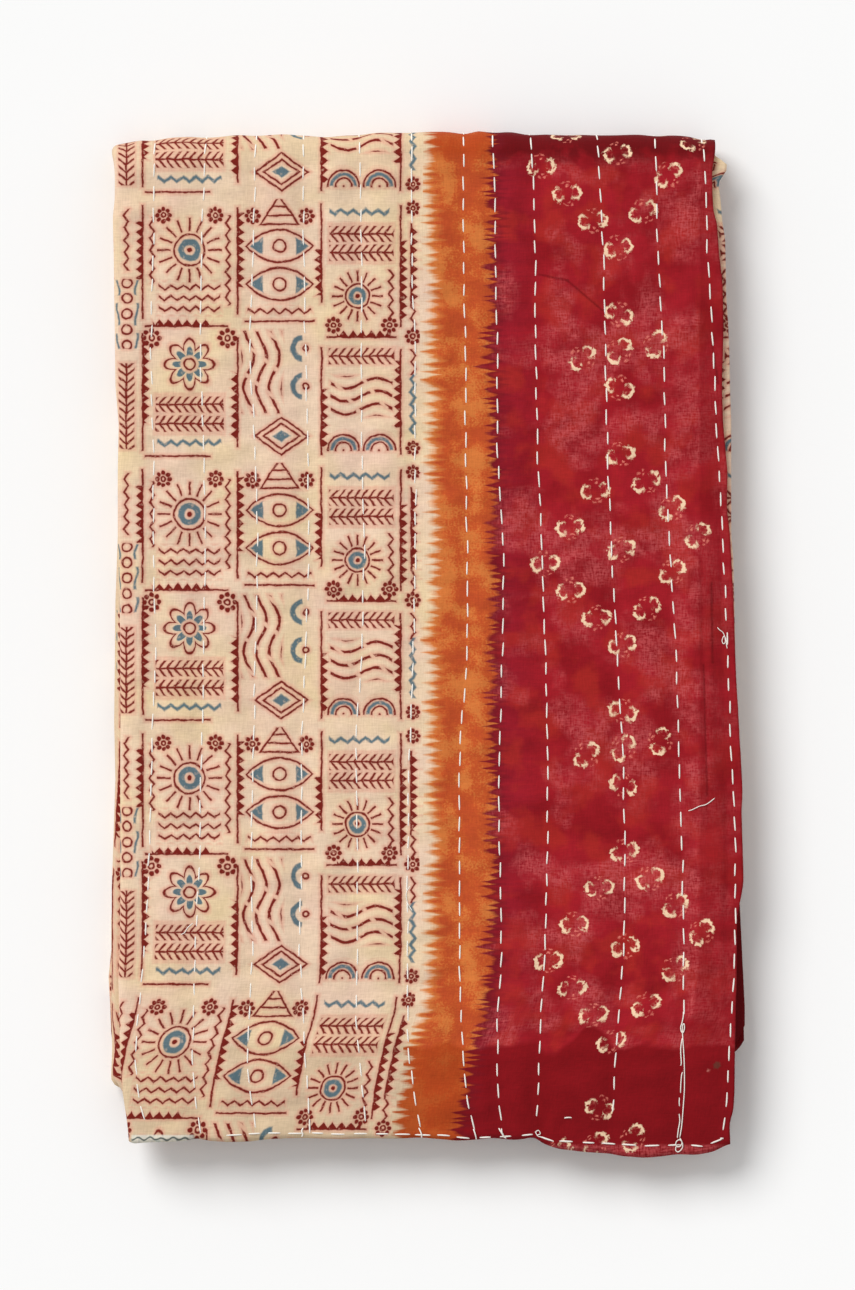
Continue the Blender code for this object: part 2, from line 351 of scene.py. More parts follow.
def quarter_fold(run, share, pitch):
    """Places on a strip folded in half twice, with its four legs a pitch apart.

    For each it gives the place between the folded side (0) and the open side (1), the reach
    past that towards the folded side, the height over the middle and the normal's two parts.
    """
    run, share = np.broadcast_arrays(run, share)
    angle = math.pi * share
    swing, lift = np.sin(angle), np.cos(angle)
    outer, inner = 1.5 * pitch, 0.5 * pitch
    none = np.zeros_like(angle)
    one = none + 1
    by_run = (
        (1 - share, none, outer * one, none, one),
        (none, outer * swing, outer * lift, swing, lift),
        (share, none, -outer * one, none, -one),
        (one, -inner * swing, -pitch - inner * lift, -swing, -lift),
        (1 - share, none, -inner * one, none, one),
        (none, inner * swing, -inner * lift, -swing, lift),
        (share, none, inner * one, none, -one),
    )
    return [np.choose(run, [row[part] for row in by_run]) for part in range(5)]


def flat_run(run, share, span, pitch, outside):
    """How far a place lies from the strip's first hem when it is unfolded."""
    run, share, span = np.broadcast_arrays(run, share, span)
    outer_arc = math.pi * (1.5 * pitch + outside)
    inner_arc = math.pi * 0.5 * pitch
    by_run = (
        share * span,
        span + outer_arc * share,
        span * (1 + share) + outer_arc,
        span * 2 + outer_arc + inner_arc * share,
        span * (2 + share) + outer_arc + inner_arc,
        span * 3 + outer_arc + inner_arc * (1 + share),
        span * (3 + share) + outer_arc + 2 * inner_arc,
    )
    return np.choose(run, by_run)


def ends_in_hem(run):
    """Whether a run is the first or the last of a quarter fold, which end in a hem."""
    return (run == OUTER_LEG) | (run == INNER_LEG)


def side_edges(run_along, share_along, in_length):
    """The left fold's turn, the right fold's turn and the hem at the right, along a leg."""
    in_turn = run_along == OUTER_TURN
    in_hem = ends_in_hem(run_along)
    top = (run_along == OUTER_LEG) | (in_turn & (share_along < 0.5))
    swing = np.sin(math.pi * share_along)
    round_end = (FACE_TOP - TURN_START) * MM * np.where(in_turn, swing, 0)
    round_end = round_end - UNDER_ROOM * np.where(run_along == OPEN_TURN, swing, 0)
    y_left, y_right = (
        mix(TURN_START * MM, np.where(in_hem, FACE_BOTTOM * MM, end * MM + UNDER_ROOM), in_length)
        + round_end
        for _, end in UNDER_END
    )
    under_hem = under_right(y_right)
    drawn_in = smooth_step((INSET_START - y_right / MM) / INSET_REACH)
    under_fold = under_hem - UNDER_FOLD_INSET * drawn_in
    left = np.where(top, left_fold(y_left), under_left(y_left))
    fold = np.where(top, right_fold(y_right), under_fold)
    hem = np.where(top, right_hem(y_right), under_hem)
    return left + OUTER_ROOM, fold - OPEN_ROOM, hem


def ragged(at, which):
    """A small unevenness of the edges of hidden layers, where which is over 1."""
    waves = sum(rise * np.sin(at / MM / size + phase * which) for size, phase, rise in RAGGED_WAVES)
    return RAGGED * waves * np.clip(which - 1, 0, 1)


def settled(x, y, z):
    """Heights in the stack, made a little uneven from leg to leg and from place to place.

    The waves' sizes, in millimetres for a radian, stand under x and y.
    """
    x, y = x / MM, y / MM
    level = math.pi / 4 * (z / LEG + 2)
    z = z + UNEVEN * np.sin(level) * np.sin(x / 83 + y / 29 + 2)
    z = z + UNEVEN * np.sin(2 * level) * np.sin(y / 41 - x / 67)
    loft = LOFT * (np.sin(x / 47 + 1) * np.cos(y / 61) + np.sin(y / 33 + x / 90))
    return z + (z + 2 * LEG) * loft


def edges_across(run_x, run_y, share_y, in_length):
    """x of a layer's folded side and of its open side."""
    through_length = run_y + share_y
    turned_x, fold_x, hem_x = side_edges(run_y, share_y, in_length)
    nominal = mix(FACE_TOP, FACE_BOTTOM, in_length) * MM
    slack = FOLD_SLACK * np.clip(through_length - 1, 0, 1)
    shorter, higher = RAGGED_SIDE
    turned_x = turned_x + slack + higher * ragged(nominal * shorter, through_length)
    second = run_x == INNER_LEG
    face_down = np.interp(through_length, range(8), FACE_DOWN)
    behind = np.where(second, 1 - face_down, face_down)
    which = through_length + SECOND_HEM_SHIFT * second
    hem_x = hem_x - SECOND_HEM_INSET * behind + ragged(nominal, which)
    return turned_x, np.where(ends_in_hem(run_x), hem_x, fold_x)


def edges_along(x, run_y, through_width):
    """y of a layer's turn at the folded end and of its open end."""
    second = run_y == INNER_LEG
    which = through_width + SECOND_LEG_SHIFT * second
    inset = np.interp(through_width, range(8), LAYER_INSETS) * MM
    hem_y = hem_end(x) + inset + SECOND_LEG_INSET * second + ragged(x, which)
    open_y = np.where(ends_in_hem(run_y), hem_y, under_end(x) + UNDER_ROOM)
    return folded_end(x) - FOLDED_ROOM, open_y


def place(across, along, lift=0.0):
    """Points of the folded cloth, their normals, and their places on the flat quilt.

    across and along are (run, share of the run) arrays that broadcast together. The points
    are raw: their middle is the photo's, and their height is over the middle of the stack.
    """
    run_x, share_x, run_y, share_y = np.broadcast_arrays(*across, *along)
    in_width, reach_x, offset, _, _ = quarter_fold(run_x, share_x, LAYER)
    in_length, reach_y, height, tilt_y, tilt_z = quarter_fold(run_y, share_y, LEG)

    turned_x, far_x = edges_across(run_x, run_y, share_y, in_length)
    span_x = far_x - turned_x
    x = turned_x + span_x * in_width - reach_x
    turned_y, open_y = edges_along(x, run_y, run_x + share_x)
    span_y = turned_y - open_y
    q = turned_y - span_y + flat_run(run_y, share_y, span_y, LEG, OUTER_ROOM)
    p = far_x - flat_run(run_x, share_x, span_x, LAYER, CLOTH / 2) - drift(q)

    fading = np.interp(run_y + share_y, (1, 2), (1, 0))
    rise = relief(x, np.minimum(q, PAST_FOLD)) * fading * (run_x == OUTER_LEG)
    offset = offset + rise + lift
    y = turned_y - span_y * in_length + reach_y + tilt_y * offset
    z = height + tilt_z * offset
    past_fold = np.maximum(0, under_end(x) - y) * ends_in_hem(run_y)
    z = settled(x, y, z - SAG * past_fold * past_fold)
    points = np.stack((x, y, z), axis=-1)
    normals = np.stack((np.zeros_like(x), tilt_y, tilt_z), axis=-1)
    return points, normals, np.stack((p, q), axis=-1)


def stations_at(x, q):
    """The stations of layer 1 at a place x across the face and q along the flat quilt."""
    turned_y = folded_end(x) - FOLDED_ROOM
    past_turn = q - turned_y
    arc = math.pi * (1.5 * LEG + OUTER_ROOM)
    on_top = -past_turn / (turned_y - hem_end(x))
    below = (past_turn - arc) / (turned_y - under_end(x) - UNDER_ROOM)
    run_y = np.where(past_turn < 0, OUTER_LEG, np.where(past_turn < arc, OUTER_TURN, BOTTOM_LEG))
    share_y = np.choose(run_y, (1 - on_top, past_turn / arc, below))
    in_length = np.choose(run_y, (on_top, 0 * x, below))
    turned_x, _, hem_x = side_edges(run_y, share_y, in_length)
    share_x = (hem_x - x) / (hem_x - turned_x)
    return (np.full(x.shape, OUTER_LEG), share_x), (run_y, share_y)


def on_cloth(x, q, lift):
    """Points a little over the face, or round its fold on the underside, and their normals."""
    x, q, lift = np.broadcast_arrays(x, q, lift)
    points, normals, _ = place(*stations_at(x, q), lift=CLOTH / 2 + lift)
    return points, normals


# ---------------- the cloth's mesh


def even(steps):
    return np.linspace(0, 1, steps + 1)


def crowded(steps, dense_steps, dense_share):
    """Shares of a run, with more grid lines in its first part."""
    dense = np.linspace(0, dense_share, dense_steps + 1)
    return np.concatenate((dense, np.linspace(dense_share, 1, steps - dense_steps + 1)[1:]))


def grid_lines(steps_by_run, uneven):
    """(run, share) arrays of the grid lines in one direction; uneven gives some runs' shares."""
    runs, shares = [OUTER_LEG], [0.0]
    for run, steps in enumerate(steps_by_run):
        runs += [run] * steps
        shares += list(uneven.get(run, even(steps))[1:])
    return np.array(runs), np.array(shares)


def lines_across():
    """The grid lines across the quilt, crowded beside the hem and set where it bends."""
    bends = np.array(HEM_BENDS)
    uneven = {
        OUTER_LEG: crowded(STEPS_ACROSS[OUTER_LEG], HEM_STEPS, HEM_SHARE),
        BOTTOM_LEG: bends,
        MIDDLE_LEG: 1 - bends[::-1],
        INNER_LEG: bends,
    }
    return grid_lines(STEPS_ACROSS, uneven)


def lines_along():
    """The grid lines along the quilt, crowded where the legs end or sink."""
    uneven = {
        BOTTOM_LEG: 1 - (1 - even(STEPS_ALONG[BOTTOM_LEG])) ** LEG_CROWDING,
        MIDDLE_LEG: even(STEPS_ALONG[MIDDLE_LEG]) ** LEG_CROWDING,
        INNER_LEG: 1 - crowded(STEPS_ALONG[INNER_LEG], SAG_STEPS, SAG_SHARE)[::-1],
    }
    return grid_lines(STEPS_ALONG, uneven)


def new_piece(name, points, faces, materials):
    """A piece from raw points, moved to where the CAD solid lies."""
    mesh = bpy.data.meshes.new(name)
    points = points + np.array(RAW_TO_CAD)
    mesh.from_pydata(points.reshape(-1, 3).tolist(), [], faces)
    for material in materials:
        mesh.materials.append(material)
    mesh.shade_smooth()
    piece = bpy.data.objects.new(name, mesh)
    bpy.context.scene.collection.objects.link(piece)
    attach(piece, "root")
    return piece


def folded_quilt(materials):
    """The cloth: printed cream middle, then a striped border, each with its plain back."""
    across = [part[None, :] for part in lines_across()]
    along = [part[:, None] for part in lines_along()]
    points, _, flat = place(across, along)
    index = np.arange(points[..., 0].size).reshape(points.shape[:2])
    corners = (index[:-1, :-1], index[1:, :-1], index[1:, 1:], index[:-1, 1:])
    faces = np.stack(corners, axis=-1).reshape(-1, 4)
    cloth = new_piece("quilt_cloth", points, faces.tolist(), materials)

    flat = np.pad(flat.reshape(-1, 2) / MM, ((0, 0), (0, 1)))
    attribute = cloth.data.attributes.new("flat", "FLOAT_VECTOR", "POINT")
    attribute.data.foreach_set("vector", flat.astype(np.float32).ravel())
    from_centre = np.abs(flat[:, 0] - QUILT_CENTRE)[faces].mean(axis=1)
    in_border = (from_centre > PRINT_WIDTH).astype(np.int32)
    cloth.data.polygons.foreach_set("material_index", in_border)

    thickness = cloth.modifiers.new("thickness", "SOLIDIFY")
    thickness.thickness = CLOTH
    thickness.offset = 0
    thickness.use_even_offset = True
    thickness.material_offset = 2  # the back's two materials follow the face's
    return cloth


# ---------------- thread

THREAD_SIDES = 6
THREAD_RADIUS = 0.41 * MM
THREAD_FLATNESS = 0.75  # its height over its width
THREAD_TAPER = 0.45  # its radius at a stitch's ends, as a share of the full one
LOOSE_TAPER = 0.4  # the same at a loose thread's ends
STITCH_POINTS = 8
STITCH_FULLNESS = 0.4  # the power that widens the top of a stitch's arch
STITCH_SINK = -0.5 * MM  # where a stitch's ends lie, under the cloth's surface
STITCH_RISE = 0.3 * MM  # where its middle lies, over the surface
ROW_START = -245 * MM  # where the rows start, at the open end
ROUND_STEPS = 6  # points of a rounded route for each of its own

# Stitches in millimetres: shortest and longest, in the rows and along the hem
ROW_STITCHES = (6.6, 8.6)
HEM_STITCHES = (6.0, 8.4)
HEM_PITCH = 10.6
HEM_PITCHES = (0.92, 1.08)  # factors of the pitch
HEM_LAST = 4  # room for half a stitch at the end of the hem's row
STITCH_SHIFT = 0.5  # how far a stitch strays along its row
STITCH_SLANT = 0.4
STITCH_ASIDE = 0.3

thread_rng = random.Random(7)


def stray(most):
    """A seeded length, at most so many millimetres to either side."""
    return thread_rng.uniform(-most, most) * MM


class Thread:
    """Tubes of thread that are joined into one piece."""

    def __init__(self):
        self.points, self.faces, self.count = [], [], 0

    def lay(self, x, q, height, radii):
        """A tube on the cloth. Each argument has a value for each point of the tube's path."""
        path, normals = on_cloth(x, q, height)
        along = np.gradient(path, axis=0)
        along /= np.linalg.norm(along, axis=-1, keepdims=True)
        side = np.cross(along, normals)
        side /= np.linalg.norm(side, axis=-1, keepdims=True)
        up = np.cross(side, along)
        turn = np.linspace(0, math.tau, THREAD_SIDES, endpoint=False)[:, None]
        ring = np.cos(turn) * side[:, None, :]
        ring = ring + THREAD_FLATNESS * np.sin(turn) * up[:, None, :]
        rings = path[:, None, :] + radii[:, None, None] * ring
        index = self.count + np.arange(len(path) * THREAD_SIDES).reshape(-1, THREAD_SIDES)
        after = np.roll(index, -1, axis=1)
        quads = (index[:-1], after[:-1], after[1:], index[1:])
        self.faces += np.stack(quads, axis=-1).reshape(-1, 4).tolist()
        self.faces += [index[0, ::-1].tolist(), index[-1].tolist()]
        self.points.append(rings.reshape(-1, 3))
        self.count += index.size

    def piece(self, name, material):
        return new_piece(name, np.concatenate(self.points), self.faces, [material])


def stitch_profile():
    """Shares of a stitch's length, its heights over the cloth and its radii."""
    share = 0.5 - 0.5 * np.cos(np.linspace(0, math.pi, STITCH_POINTS))
    arch = np.sin(math.pi * share) ** STITCH_FULLNESS
    return share, mix(STITCH_SINK, STITCH_RISE, arch), THREAD_RADIUS * mix(THREAD_TAPER, 1, arch)


def sew_row(thread, curve, phase, pitch, q_from, q_to):
    """Running stitches along a row of the face, round the folded end and on the underside."""
    share, height, radii = stitch_profile()
    for number in range(int((q_from - phase) / pitch) - 1, int((q_to - phase) / pitch) + 2):
        middle = phase + number * pitch + stray(STITCH_SHIFT)
        reach = thread_rng.uniform(*ROW_STITCHES) * MM
        slant, aside = stray(STITCH_SLANT), stray(STITCH_ASIDE)
        if middle - reach / 2 < q_from or middle + reach / 2 > q_to:
            continue
        q = middle + (share - 0.5) * reach
        thread.lay(curve(q) + aside + (share - 0.5) * slant, q, height, radii)


def sew_hem(thread, route):
    """Running stitches along a route of (x, y) points in millimetres on the face."""
    share, height, radii = stitch_profile()
    route = np.array(route, dtype=float) * MM
    reached = np.concatenate(((0,), np.cumsum(np.hypot(*np.diff(route, axis=0).T))))
    middle = HEM_PITCH * MM / 2
    while middle + HEM_LAST * MM < reached[-1]:
        reach = thread_rng.uniform(*HEM_STITCHES) * MM
        aside = stray(STITCH_ASIDE)
        at = middle + (share - 0.5) * reach
        x, y = (np.interp(at, reached, part) for part in route.T)
        thread.lay(x, y + aside, height, radii)
        middle += HEM_PITCH * MM * thread_rng.uniform(*HEM_PITCHES)


def rounded(route):
    """A smooth curve through the points of a route: a cubic from each one to the next."""
    route = np.array(route, dtype=float)
    padded = np.concatenate(([2 * route[0] - route[1]], route, [2 * route[-1] - route[-2]]))
    share = np.linspace(0, 1, ROUND_STEPS, endpoint=False)[:, None]
    parts = []
    for a, b, c, d in zip(padded, padded[1:], padded[2:], padded[3:]):
        bend = 2 * a - 5 * b + 4 * c - d
        parts.append(b + 0.5 * share * (c - a + share * (bend + share * (3 * b - a - 3 * c + d))))
    return np.concatenate((*parts, route[-1:]))


def lay_loose(thread, route, radius):
    """A loose thread on the face: (x, y, height over the cloth) points in millimetres."""
    x, y, height = rounded(route).T * MM
    ends = np.ones(len(x))
    ends[0] = ends[-1] = LOOSE_TAPER
    thread.lay(x, y, height + radius * THREAD_FLATNESS, radius * ends)


# The row along the hem at the open end: (x, y) in millimetres
HEM_ROW = (
    (-102, -245), (-84, -244.2), (-62, -244.2), (-42, -244.7), (-12, -244.7), (8, -245.3),
    (22, -246.7), (40, -245.8), (53, -244.6), (63, -248), (85, -249), (107, -250.5),
    (130, -249.7), (139, -250.7), (146, -248), (152, -245.5),
)

# Loose ends as (x, y, height over the cloth) in millimetres: the long one and its knot, others
FLOAT = (
    ((127.9, -182.4, -0.6), (127.9, -185.6, 0.1), (127.2, -188.9, 0.4), (126.6, -191.2, 0.6),
     (127.0, -193.4, 0.7), (127.9, -193.6, 0.7), (128.5, -191.4, 0.7), (128.2, -189.4, 0.6),
     (127.5, -190.6, 0.6), (127.6, -196, 0.3), (128.3, -207, 0.2), (128.5, -221, 0.2),
     (127.9, -231, 0.2), (127.2, -240, 0.3), (126.2, -246.5, 0.4)),
    ((127.4, -196, -0.4), (126.6, -202, 0.2), (126.9, -209, 0.2), (126.4, -210.5, -0.5)),
    ((127.7, -213, -0.5), (127.0, -215.5, 0.3), (126.6, -221.5, 0.3), (126.6, -224.5, -0.5)),
    ((126.0, -226, -0.4), (125.9, -229, 0.2), (126.1, -231, -0.4)),
    ((125.8, -234, -0.4), (126.2, -238, 0.3), (125.4, -243, 0.3), (125.0, -246.8, 0.5)),
)
FLOAT_KNOT = (
    (126.2, -246.5, 0.4), (127.3, -248.6, 0.8), (126.6, -250.6, 0.9), (125.0, -251.0, 0.8),
    (124.2, -249.6, 0.7), (124.9, -248.0, 0.9), (126.4, -247.6, 1.1), (127.6, -249.4, 1.0),
    (127.4, -251.8, 0.8), (125.6, -253.6, 0.5), (124.2, -252.9, 0.5), (124.4, -250.9, 0.4),
)
LOOSE_THREADS = (
    ((144.8, 9.0, -0.4), (146.0, 7.6, 0.2), (147.6, 6.4, 0.4), (148.6, 4.2, 0.5),
     (148.9, 1.6, 0.5), (148.0, 0.6, 0.6), (147.3, 2.2, 0.7), (148.2, 4.4, 0.8),
     (149.2, 3.0, 0.5), (149.5, 0.2, 0.2), (149.9, -2.0, -0.4)),
    ((130.2, -83, -0.4), (132.5, -82.3, 0.2), (136.0, -80.6, 0.3), (139.5, -79.6, 0.3),
     (143.7, -76.5, 0.1)),
    ((-123.7, -145, -0.3), (-121.5, -143.8, 0.2), (-119.8, -141.2, 0.2), (-117.2, -139, 0.0)),
    ((-8.4, -120, -0.3), (-10.6, -124, 0.2), (-9.9, -129, 0.2), (-7.6, -133, -0.2)),
    ((53.8, -243.4, 0.0), (54.9, -245.0, 0.8), (56.4, -244.4, 1.0), (55.6, -242.8, 1.1),
     (54.2, -243.6, 1.1), (55.2, -245.6, 0.9), (57.0, -246.2, 0.3), (59.5, -247.4, -0.3)),
)

# Short ends of the rows that cross the row along the hem, and two stray stitches
SHORT_ENDS = (
    ((-4.4, -241.5, -0.4), (-3.4, -243.6, 0.4), (-2.9, -245.2, 0.6), (-3.0, -246.4, 0.1)),
    ((22.9, -242.0, -0.4), (23.6, -243.8, 0.4), (24.2, -246.0, 0.6), (24.4, -247.4, 0.1)),
    ((35.6, -241.6, -0.4), (36.4, -243.0, 0.5), (37.6, -245.0, 0.7), (38.6, -246.6, 0.2)),
    ((37.0, -241.8, -0.4), (37.2, -243.6, 0.6), (38.2, -245.6, 0.7), (39.4, -246.9, 0.2)),
    ((-62.2, -241.4, -0.4), (-62.9, -243.0, 0.3), (-62.4, -244.6, 0.5), (-62.9, -246.0, 0.1)),
    ((68.2, -236.6, -0.4), (70.2, -236.3, 0.3), (72.3, -236.4, -0.4)),
    ((146.4, -246.9, -0.4), (147.2, -246.8, 0.2), (148.1, -246.9, -0.4)),
)


# All loose threads: their radius in millimetres and their routes
LOOSE = ((0.27, FLOAT), (0.26, (FLOAT_KNOT,)), (0.22, LOOSE_THREADS), (0.34, SHORT_ENDS))


def sew_quilt(material):
    """All the thread that shows: rows, the row along the hem and the loose ends."""
    sewn = Thread()
    for number, (curve, phase, pitch) in enumerate(zip(row_curves, row_phases, row_pitches)):
        first = FLOAT_TOP if number == FLOAT_ROW else ROW_START
        sew_row(sewn, curve, phase, pitch, first, UNDERSIDE_END)
    sew_hem(sewn, HEM_ROW)
    laid = Thread()
    for radius, routes in LOOSE:
        for route in routes:
            lay_loose(laid, route, radius * MM)
    return sewn.piece("running_stitches", material), laid.piece("loose_threads", material)


# ---------------- material graphs

# Noise is given by its size in millimetres and its detail. The limits and the soft steps that
# below() and above() take are in the signal's own unit: millimetres or a share of the noise.

WEAVE_SIZE = 0.7  # millimetres, of the threads' shading
WEAVE_PITCH = (0.55, 0.6)  # millimetres from thread to thread, across and along
CRUMPLE_SIZE = 3.2
WEAVE = 0.03  # heights of the weave, of thick threads and of small crumples
SLUBS = 0.05
CRUMPLE = 0.22
BUMP_STRENGTH = 0.8
THREAD_SHADE = (0.22, 0.78)  # the threads scale the colour by this factor of theirs over a start
THREAD_ROUGHNESS = (0.12, 0.78)  # and set the roughness in the same way
SHEEN = 0.03
SHEEN_ROUGHNESS = 0.5
CLOTH_GLOSS = 0.06
THREAD_GLOSS = 0.3


class Signal:
    """A socket of a material's graph. Python's operators on it make Math nodes."""

    def __init__(self, tree, socket):
        self.tree, self.socket = tree, socket

    def math(self, operation, *others, clamp=False):
        inputs = enumerate((self, *others))
        return new_node(self.tree, "Math", 0, inputs, operation=operation, use_clamp=clamp)

    def __add__(self, other):
        return self.math("ADD", other)

    def __sub__(self, other):
        return self.math("SUBTRACT", other)

    def __mul__(self, other):
        return self.math("MULTIPLY", other)

    def __abs__(self):
        return self.math("ABSOLUTE")

    def reach(self, factor, start):
        """The signal times a factor, from a start."""
        return self.math("MULTIPLY_ADD", factor, start)

    def near(self, spacing):
        """The distance to the nearest multiple of a spacing."""
        return self.math("PINGPONG", spacing / 2)

    def wrapped(self, spacing):
        """The signed distance to the nearest multiple of a spacing."""
        return self.math("WRAP", spacing / 2, -spacing / 2)

    def least(self, other):
        return self.math("MINIMUM", other)

    def most(self, other):
        return self.math("MAXIMUM", other)

    def clamped(self):
        return self.math("ADD", 0.0, clamp=True)

    def below(self, limit, soft):
        """1 where the signal is under a limit and 0 over it, with a soft step between."""
        return self.math("MULTIPLY_ADD", -1 / soft, limit / soft + 0.5, clamp=True)

    def above(self, limit, soft):
        return self.math("MULTIPLY_ADD", 1 / soft, 0.5 - limit / soft, clamp=True)


def feed(node, inputs):
    """Sets some of a node's sockets to values and joins others to signals."""
    for socket, value in dict(inputs).items():
        if isinstance(value, Signal):
            node.id_data.links.new(value.socket, node.inputs[socket])
        else:
            node.inputs[socket].default_value = value


def new_node(tree, kind, output, inputs=(), **settings):
    """An output of a new node, whose inputs are given as {socket: value or signal}."""
    node = tree.nodes.new("ShaderNode" + kind)
    for name, value in settings.items():
        setattr(node, name, value)
    feed(node, inputs)
    return Signal(tree, node.outputs[output])


def new_material(name):
    """A new material and its shader."""
    material = bpy.data.materials.new(name)
    material.use_nodes = True
    return material, material.node_tree.nodes["Principled BSDF"]


MIX_SHARE, MIX_UNDER, MIX_OVER, MIX_RESULT = 0, 6, 7, 2  # sockets of a node that mixes colours


def mix_colours(tree, share, under, over):
    """Colours mixed: under where the share is 0 and over where it is 1."""
    inputs = {MIX_SHARE: share, MIX_UNDER: under, MIX_OVER: over}
    return new_node(tree, "Mix", MIX_RESULT, inputs, data_type="RGBA")


def length(x, y):
    """The distance from the middle to (x, y)."""
    return y.math("MULTIPLY_ADD", y, x * x).math("SQRT")


def choose(first, second, share):
    """The first signal where the share is 0 and the second where it is 1."""
    return first + (second - first) * share


def paint(red, green, blue):
    """A colour of the photo, in sRGB parts up to 255, as the linear colour that a shader takes."""
    return (*(((part / 255 + 0.055) / 1.055) ** 2.4 for part in (red, green, blue)), 1.0)


class Cloth:
    """A cloth material that reads its place on the flat quilt, in millimetres."""

    def __init__(self, name):
        self.material, self.shader = new_material(name)
        self.tree = self.material.node_tree
        self.flat = new_node(self.tree, "Attribute", "Vector", attribute_name="flat")
        self.p, self.q = (new_node(self.tree, "SeparateXYZ", part, {0: self.flat}) for part in "XY")

    def noise(self, size, detail=2.0, stretch=(1, 1), at=(0, 0)):
        """Noise from 0 to 1 whose lumps are about size millimetres wide."""
        where = self.flat
        if stretch != (1, 1) or at != (0, 0):
            inputs = {0: where, 1: (1 / stretch[0], 1 / stretch[1], 1), 2: (*at, 0)}
            where = new_node(self.tree, "VectorMath", 0, inputs, operation="MULTIPLY_ADD")
        inputs = {"Vector": where, "Scale": 1 / size, "Detail": detail}
        return new_node(self.tree, "TexNoise", "Fac", inputs, noise_dimensions="2D")

    def swing(self, reach, size, detail, **where):
        """Noise that swings over a reach, half of it to each side of 0."""
        return (self.noise(size, detail, **where) - 0.5) * reach

    def layered(self, colour, *coats):
        """A colour with coats over it, each given as (its share, its colour)."""
        for share, coat in coats:
            colour = mix_colours(self.tree, share, colour, coat)
        return colour

    def finish(self, colour):
        """The thread of the cloth shades the colour and lifts the surface."""
        warp = self.noise(WEAVE_SIZE, 1.0, stretch=(1, 8))
        weft = self.noise(WEAVE_SIZE, 1.0, stretch=(8, 1), at=(17, 5))
        threads = warp + weft
        grid = self.p.near(WEAVE_PITCH[0]) + self.q.near(WEAVE_PITCH[1])
        crumple = self.noise(CRUMPLE_SIZE, 2.0)
        height = grid * WEAVE + threads * SLUBS + crumple * CRUMPLE
        shades = {"Color": colour, "Value": threads.reach(*THREAD_SHADE)}
        bumps = {"Strength": BUMP_STRENGTH, "Distance": MM, "Height": height}
        feed(self.shader, {
            "Base Color": new_node(self.tree, "HueSaturation", 0, shades),
            "Normal": new_node(self.tree, "Bump", 0, bumps),
            "Roughness": threads.reach(*THREAD_ROUGHNESS),
            "Sheen Weight": SHEEN,
            "Sheen Roughness": SHEEN_ROUGHNESS,
            "Specular IOR Level": CLOTH_GLOSS,
        })
        return self.material


# ---------------- colours of the photo

THREAD_WHITE = paint(252, 248, 240)
THREAD_SHADED = paint(243, 237, 227)
CREAM = paint(230, 202, 175)
CREAM_YELLOW = paint(227, 202, 154)
CREAM_PINK = paint(227, 190, 171)
CREAM_LOW = paint(202, 178, 142)
HEM_PALE = paint(226, 226, 212)
HEM_GREY = paint(84, 92, 88)
PRINT_HALO = paint(217, 151, 130)
PRINT_RED = paint(114, 13, 6)
PRINT_BLUE = paint(56, 98, 114)
ORANGE = paint(200, 92, 42)
ORANGE_GOLD = paint(220, 146, 76)
ORANGE_DEEP = paint(184, 76, 40)
ORANGE_DARK = paint(168, 64, 24)
RED = paint(158, 28, 38)
RED_PINK = paint(192, 82, 84)
RED_RUST = paint(174, 46, 36)
RED_PURPLE = paint(132, 26, 42)
RED_DARK = paint(126, 16, 22)
RED_SHADE = paint(92, 12, 16)
MAROON = paint(108, 22, 32)
FLOWER = paint(244, 212, 176)
FLOWER_PINK = paint(232, 132, 116)

# ---------------- the cream panel and its print

# A generic block print, in millimetres: the block's size and its place on the flat quilt
BLOCK_WIDTH = 148
BLOCK_HEIGHT = 132
BLOCK_START = 308  # from the quilt's centre
BLOCK_SHIFT = 40
WOBBLE = 1.1  # how far the printed lines stray
FAR_OFF = 9  # a distance that counts as far from any line
RULE_TOOTH = 4.6  # the teeth's pitch along a rule
RULE_RISE = 2.9  # and their height over its middle

# Where a paler layer lies under the face, in millimetres: the face looks darker elsewhere, and has
# painted shade near the folded end
LINED_AND_UNSHADED = (-201, 244)  # the part along the quilt
LOW_ARCH = (87, 8, 9)  # where the dark part at the open end reaches up: middle, half width, height
HEM_BAND = 136  # where the darker band along the right hem starts

# A pale part of the hem with a grey wavy line, in millimetres
PALE_HEM = (-117, -245, 15.5)  # its middle across, its top and half its length
HEM_WAVE = 5.8  # the line's waves: their length, half their height and their place from the top
HEM_WAVE_RISE = 0.6
HEM_WAVE_DROP = 1.2

# Ruled lines of the block in millimetres: the place across, the ends along, the side of the
# teeth (1 or -1, or 0 for none) and the ends of their row
UPRIGHT_RULES = (
    (14.5, 6, 64, 1, 20, 60),
    (14.5, 72, 128, -1, 92, 120),
    (62, 8, 62, -1, 12, 44),
    (62, 74, 127, 1, 88, 124),
    (104, 4, 57, 1, 8, 36),
    (104, 80, 129, -1, 84, 106),
    (143.5, 4, 56, -1, 18, 50),
    (143.5, 68, 128, 1, 72, 110),
    (148.8, 78, 119, 1, 80, 117),
)
LEVEL_RULES = (
    (68, 16, 57, 1, 20, 48),
    (70.5, 66, 100, 0, 0, 0),
    (62.5, 107, 141, 1, 112, 138),
    (3, 16, 48, 0, 0, 0),
)


def sun(x, y, size):
    """Rings and rays round a blue ring."""
    radius = length(x, y)
    ray = y.math("ARCTAN2", x).near(math.tau / 16) * radius
    rays = ray.most(abs(radius - 0.8 * size) - 0.18 * size)
    rings = abs(radius - 0.48 * size).least(radius - 0.05 * size)
    return rays.least(rings), abs(radius - 0.26 * size) - 0.09 * size


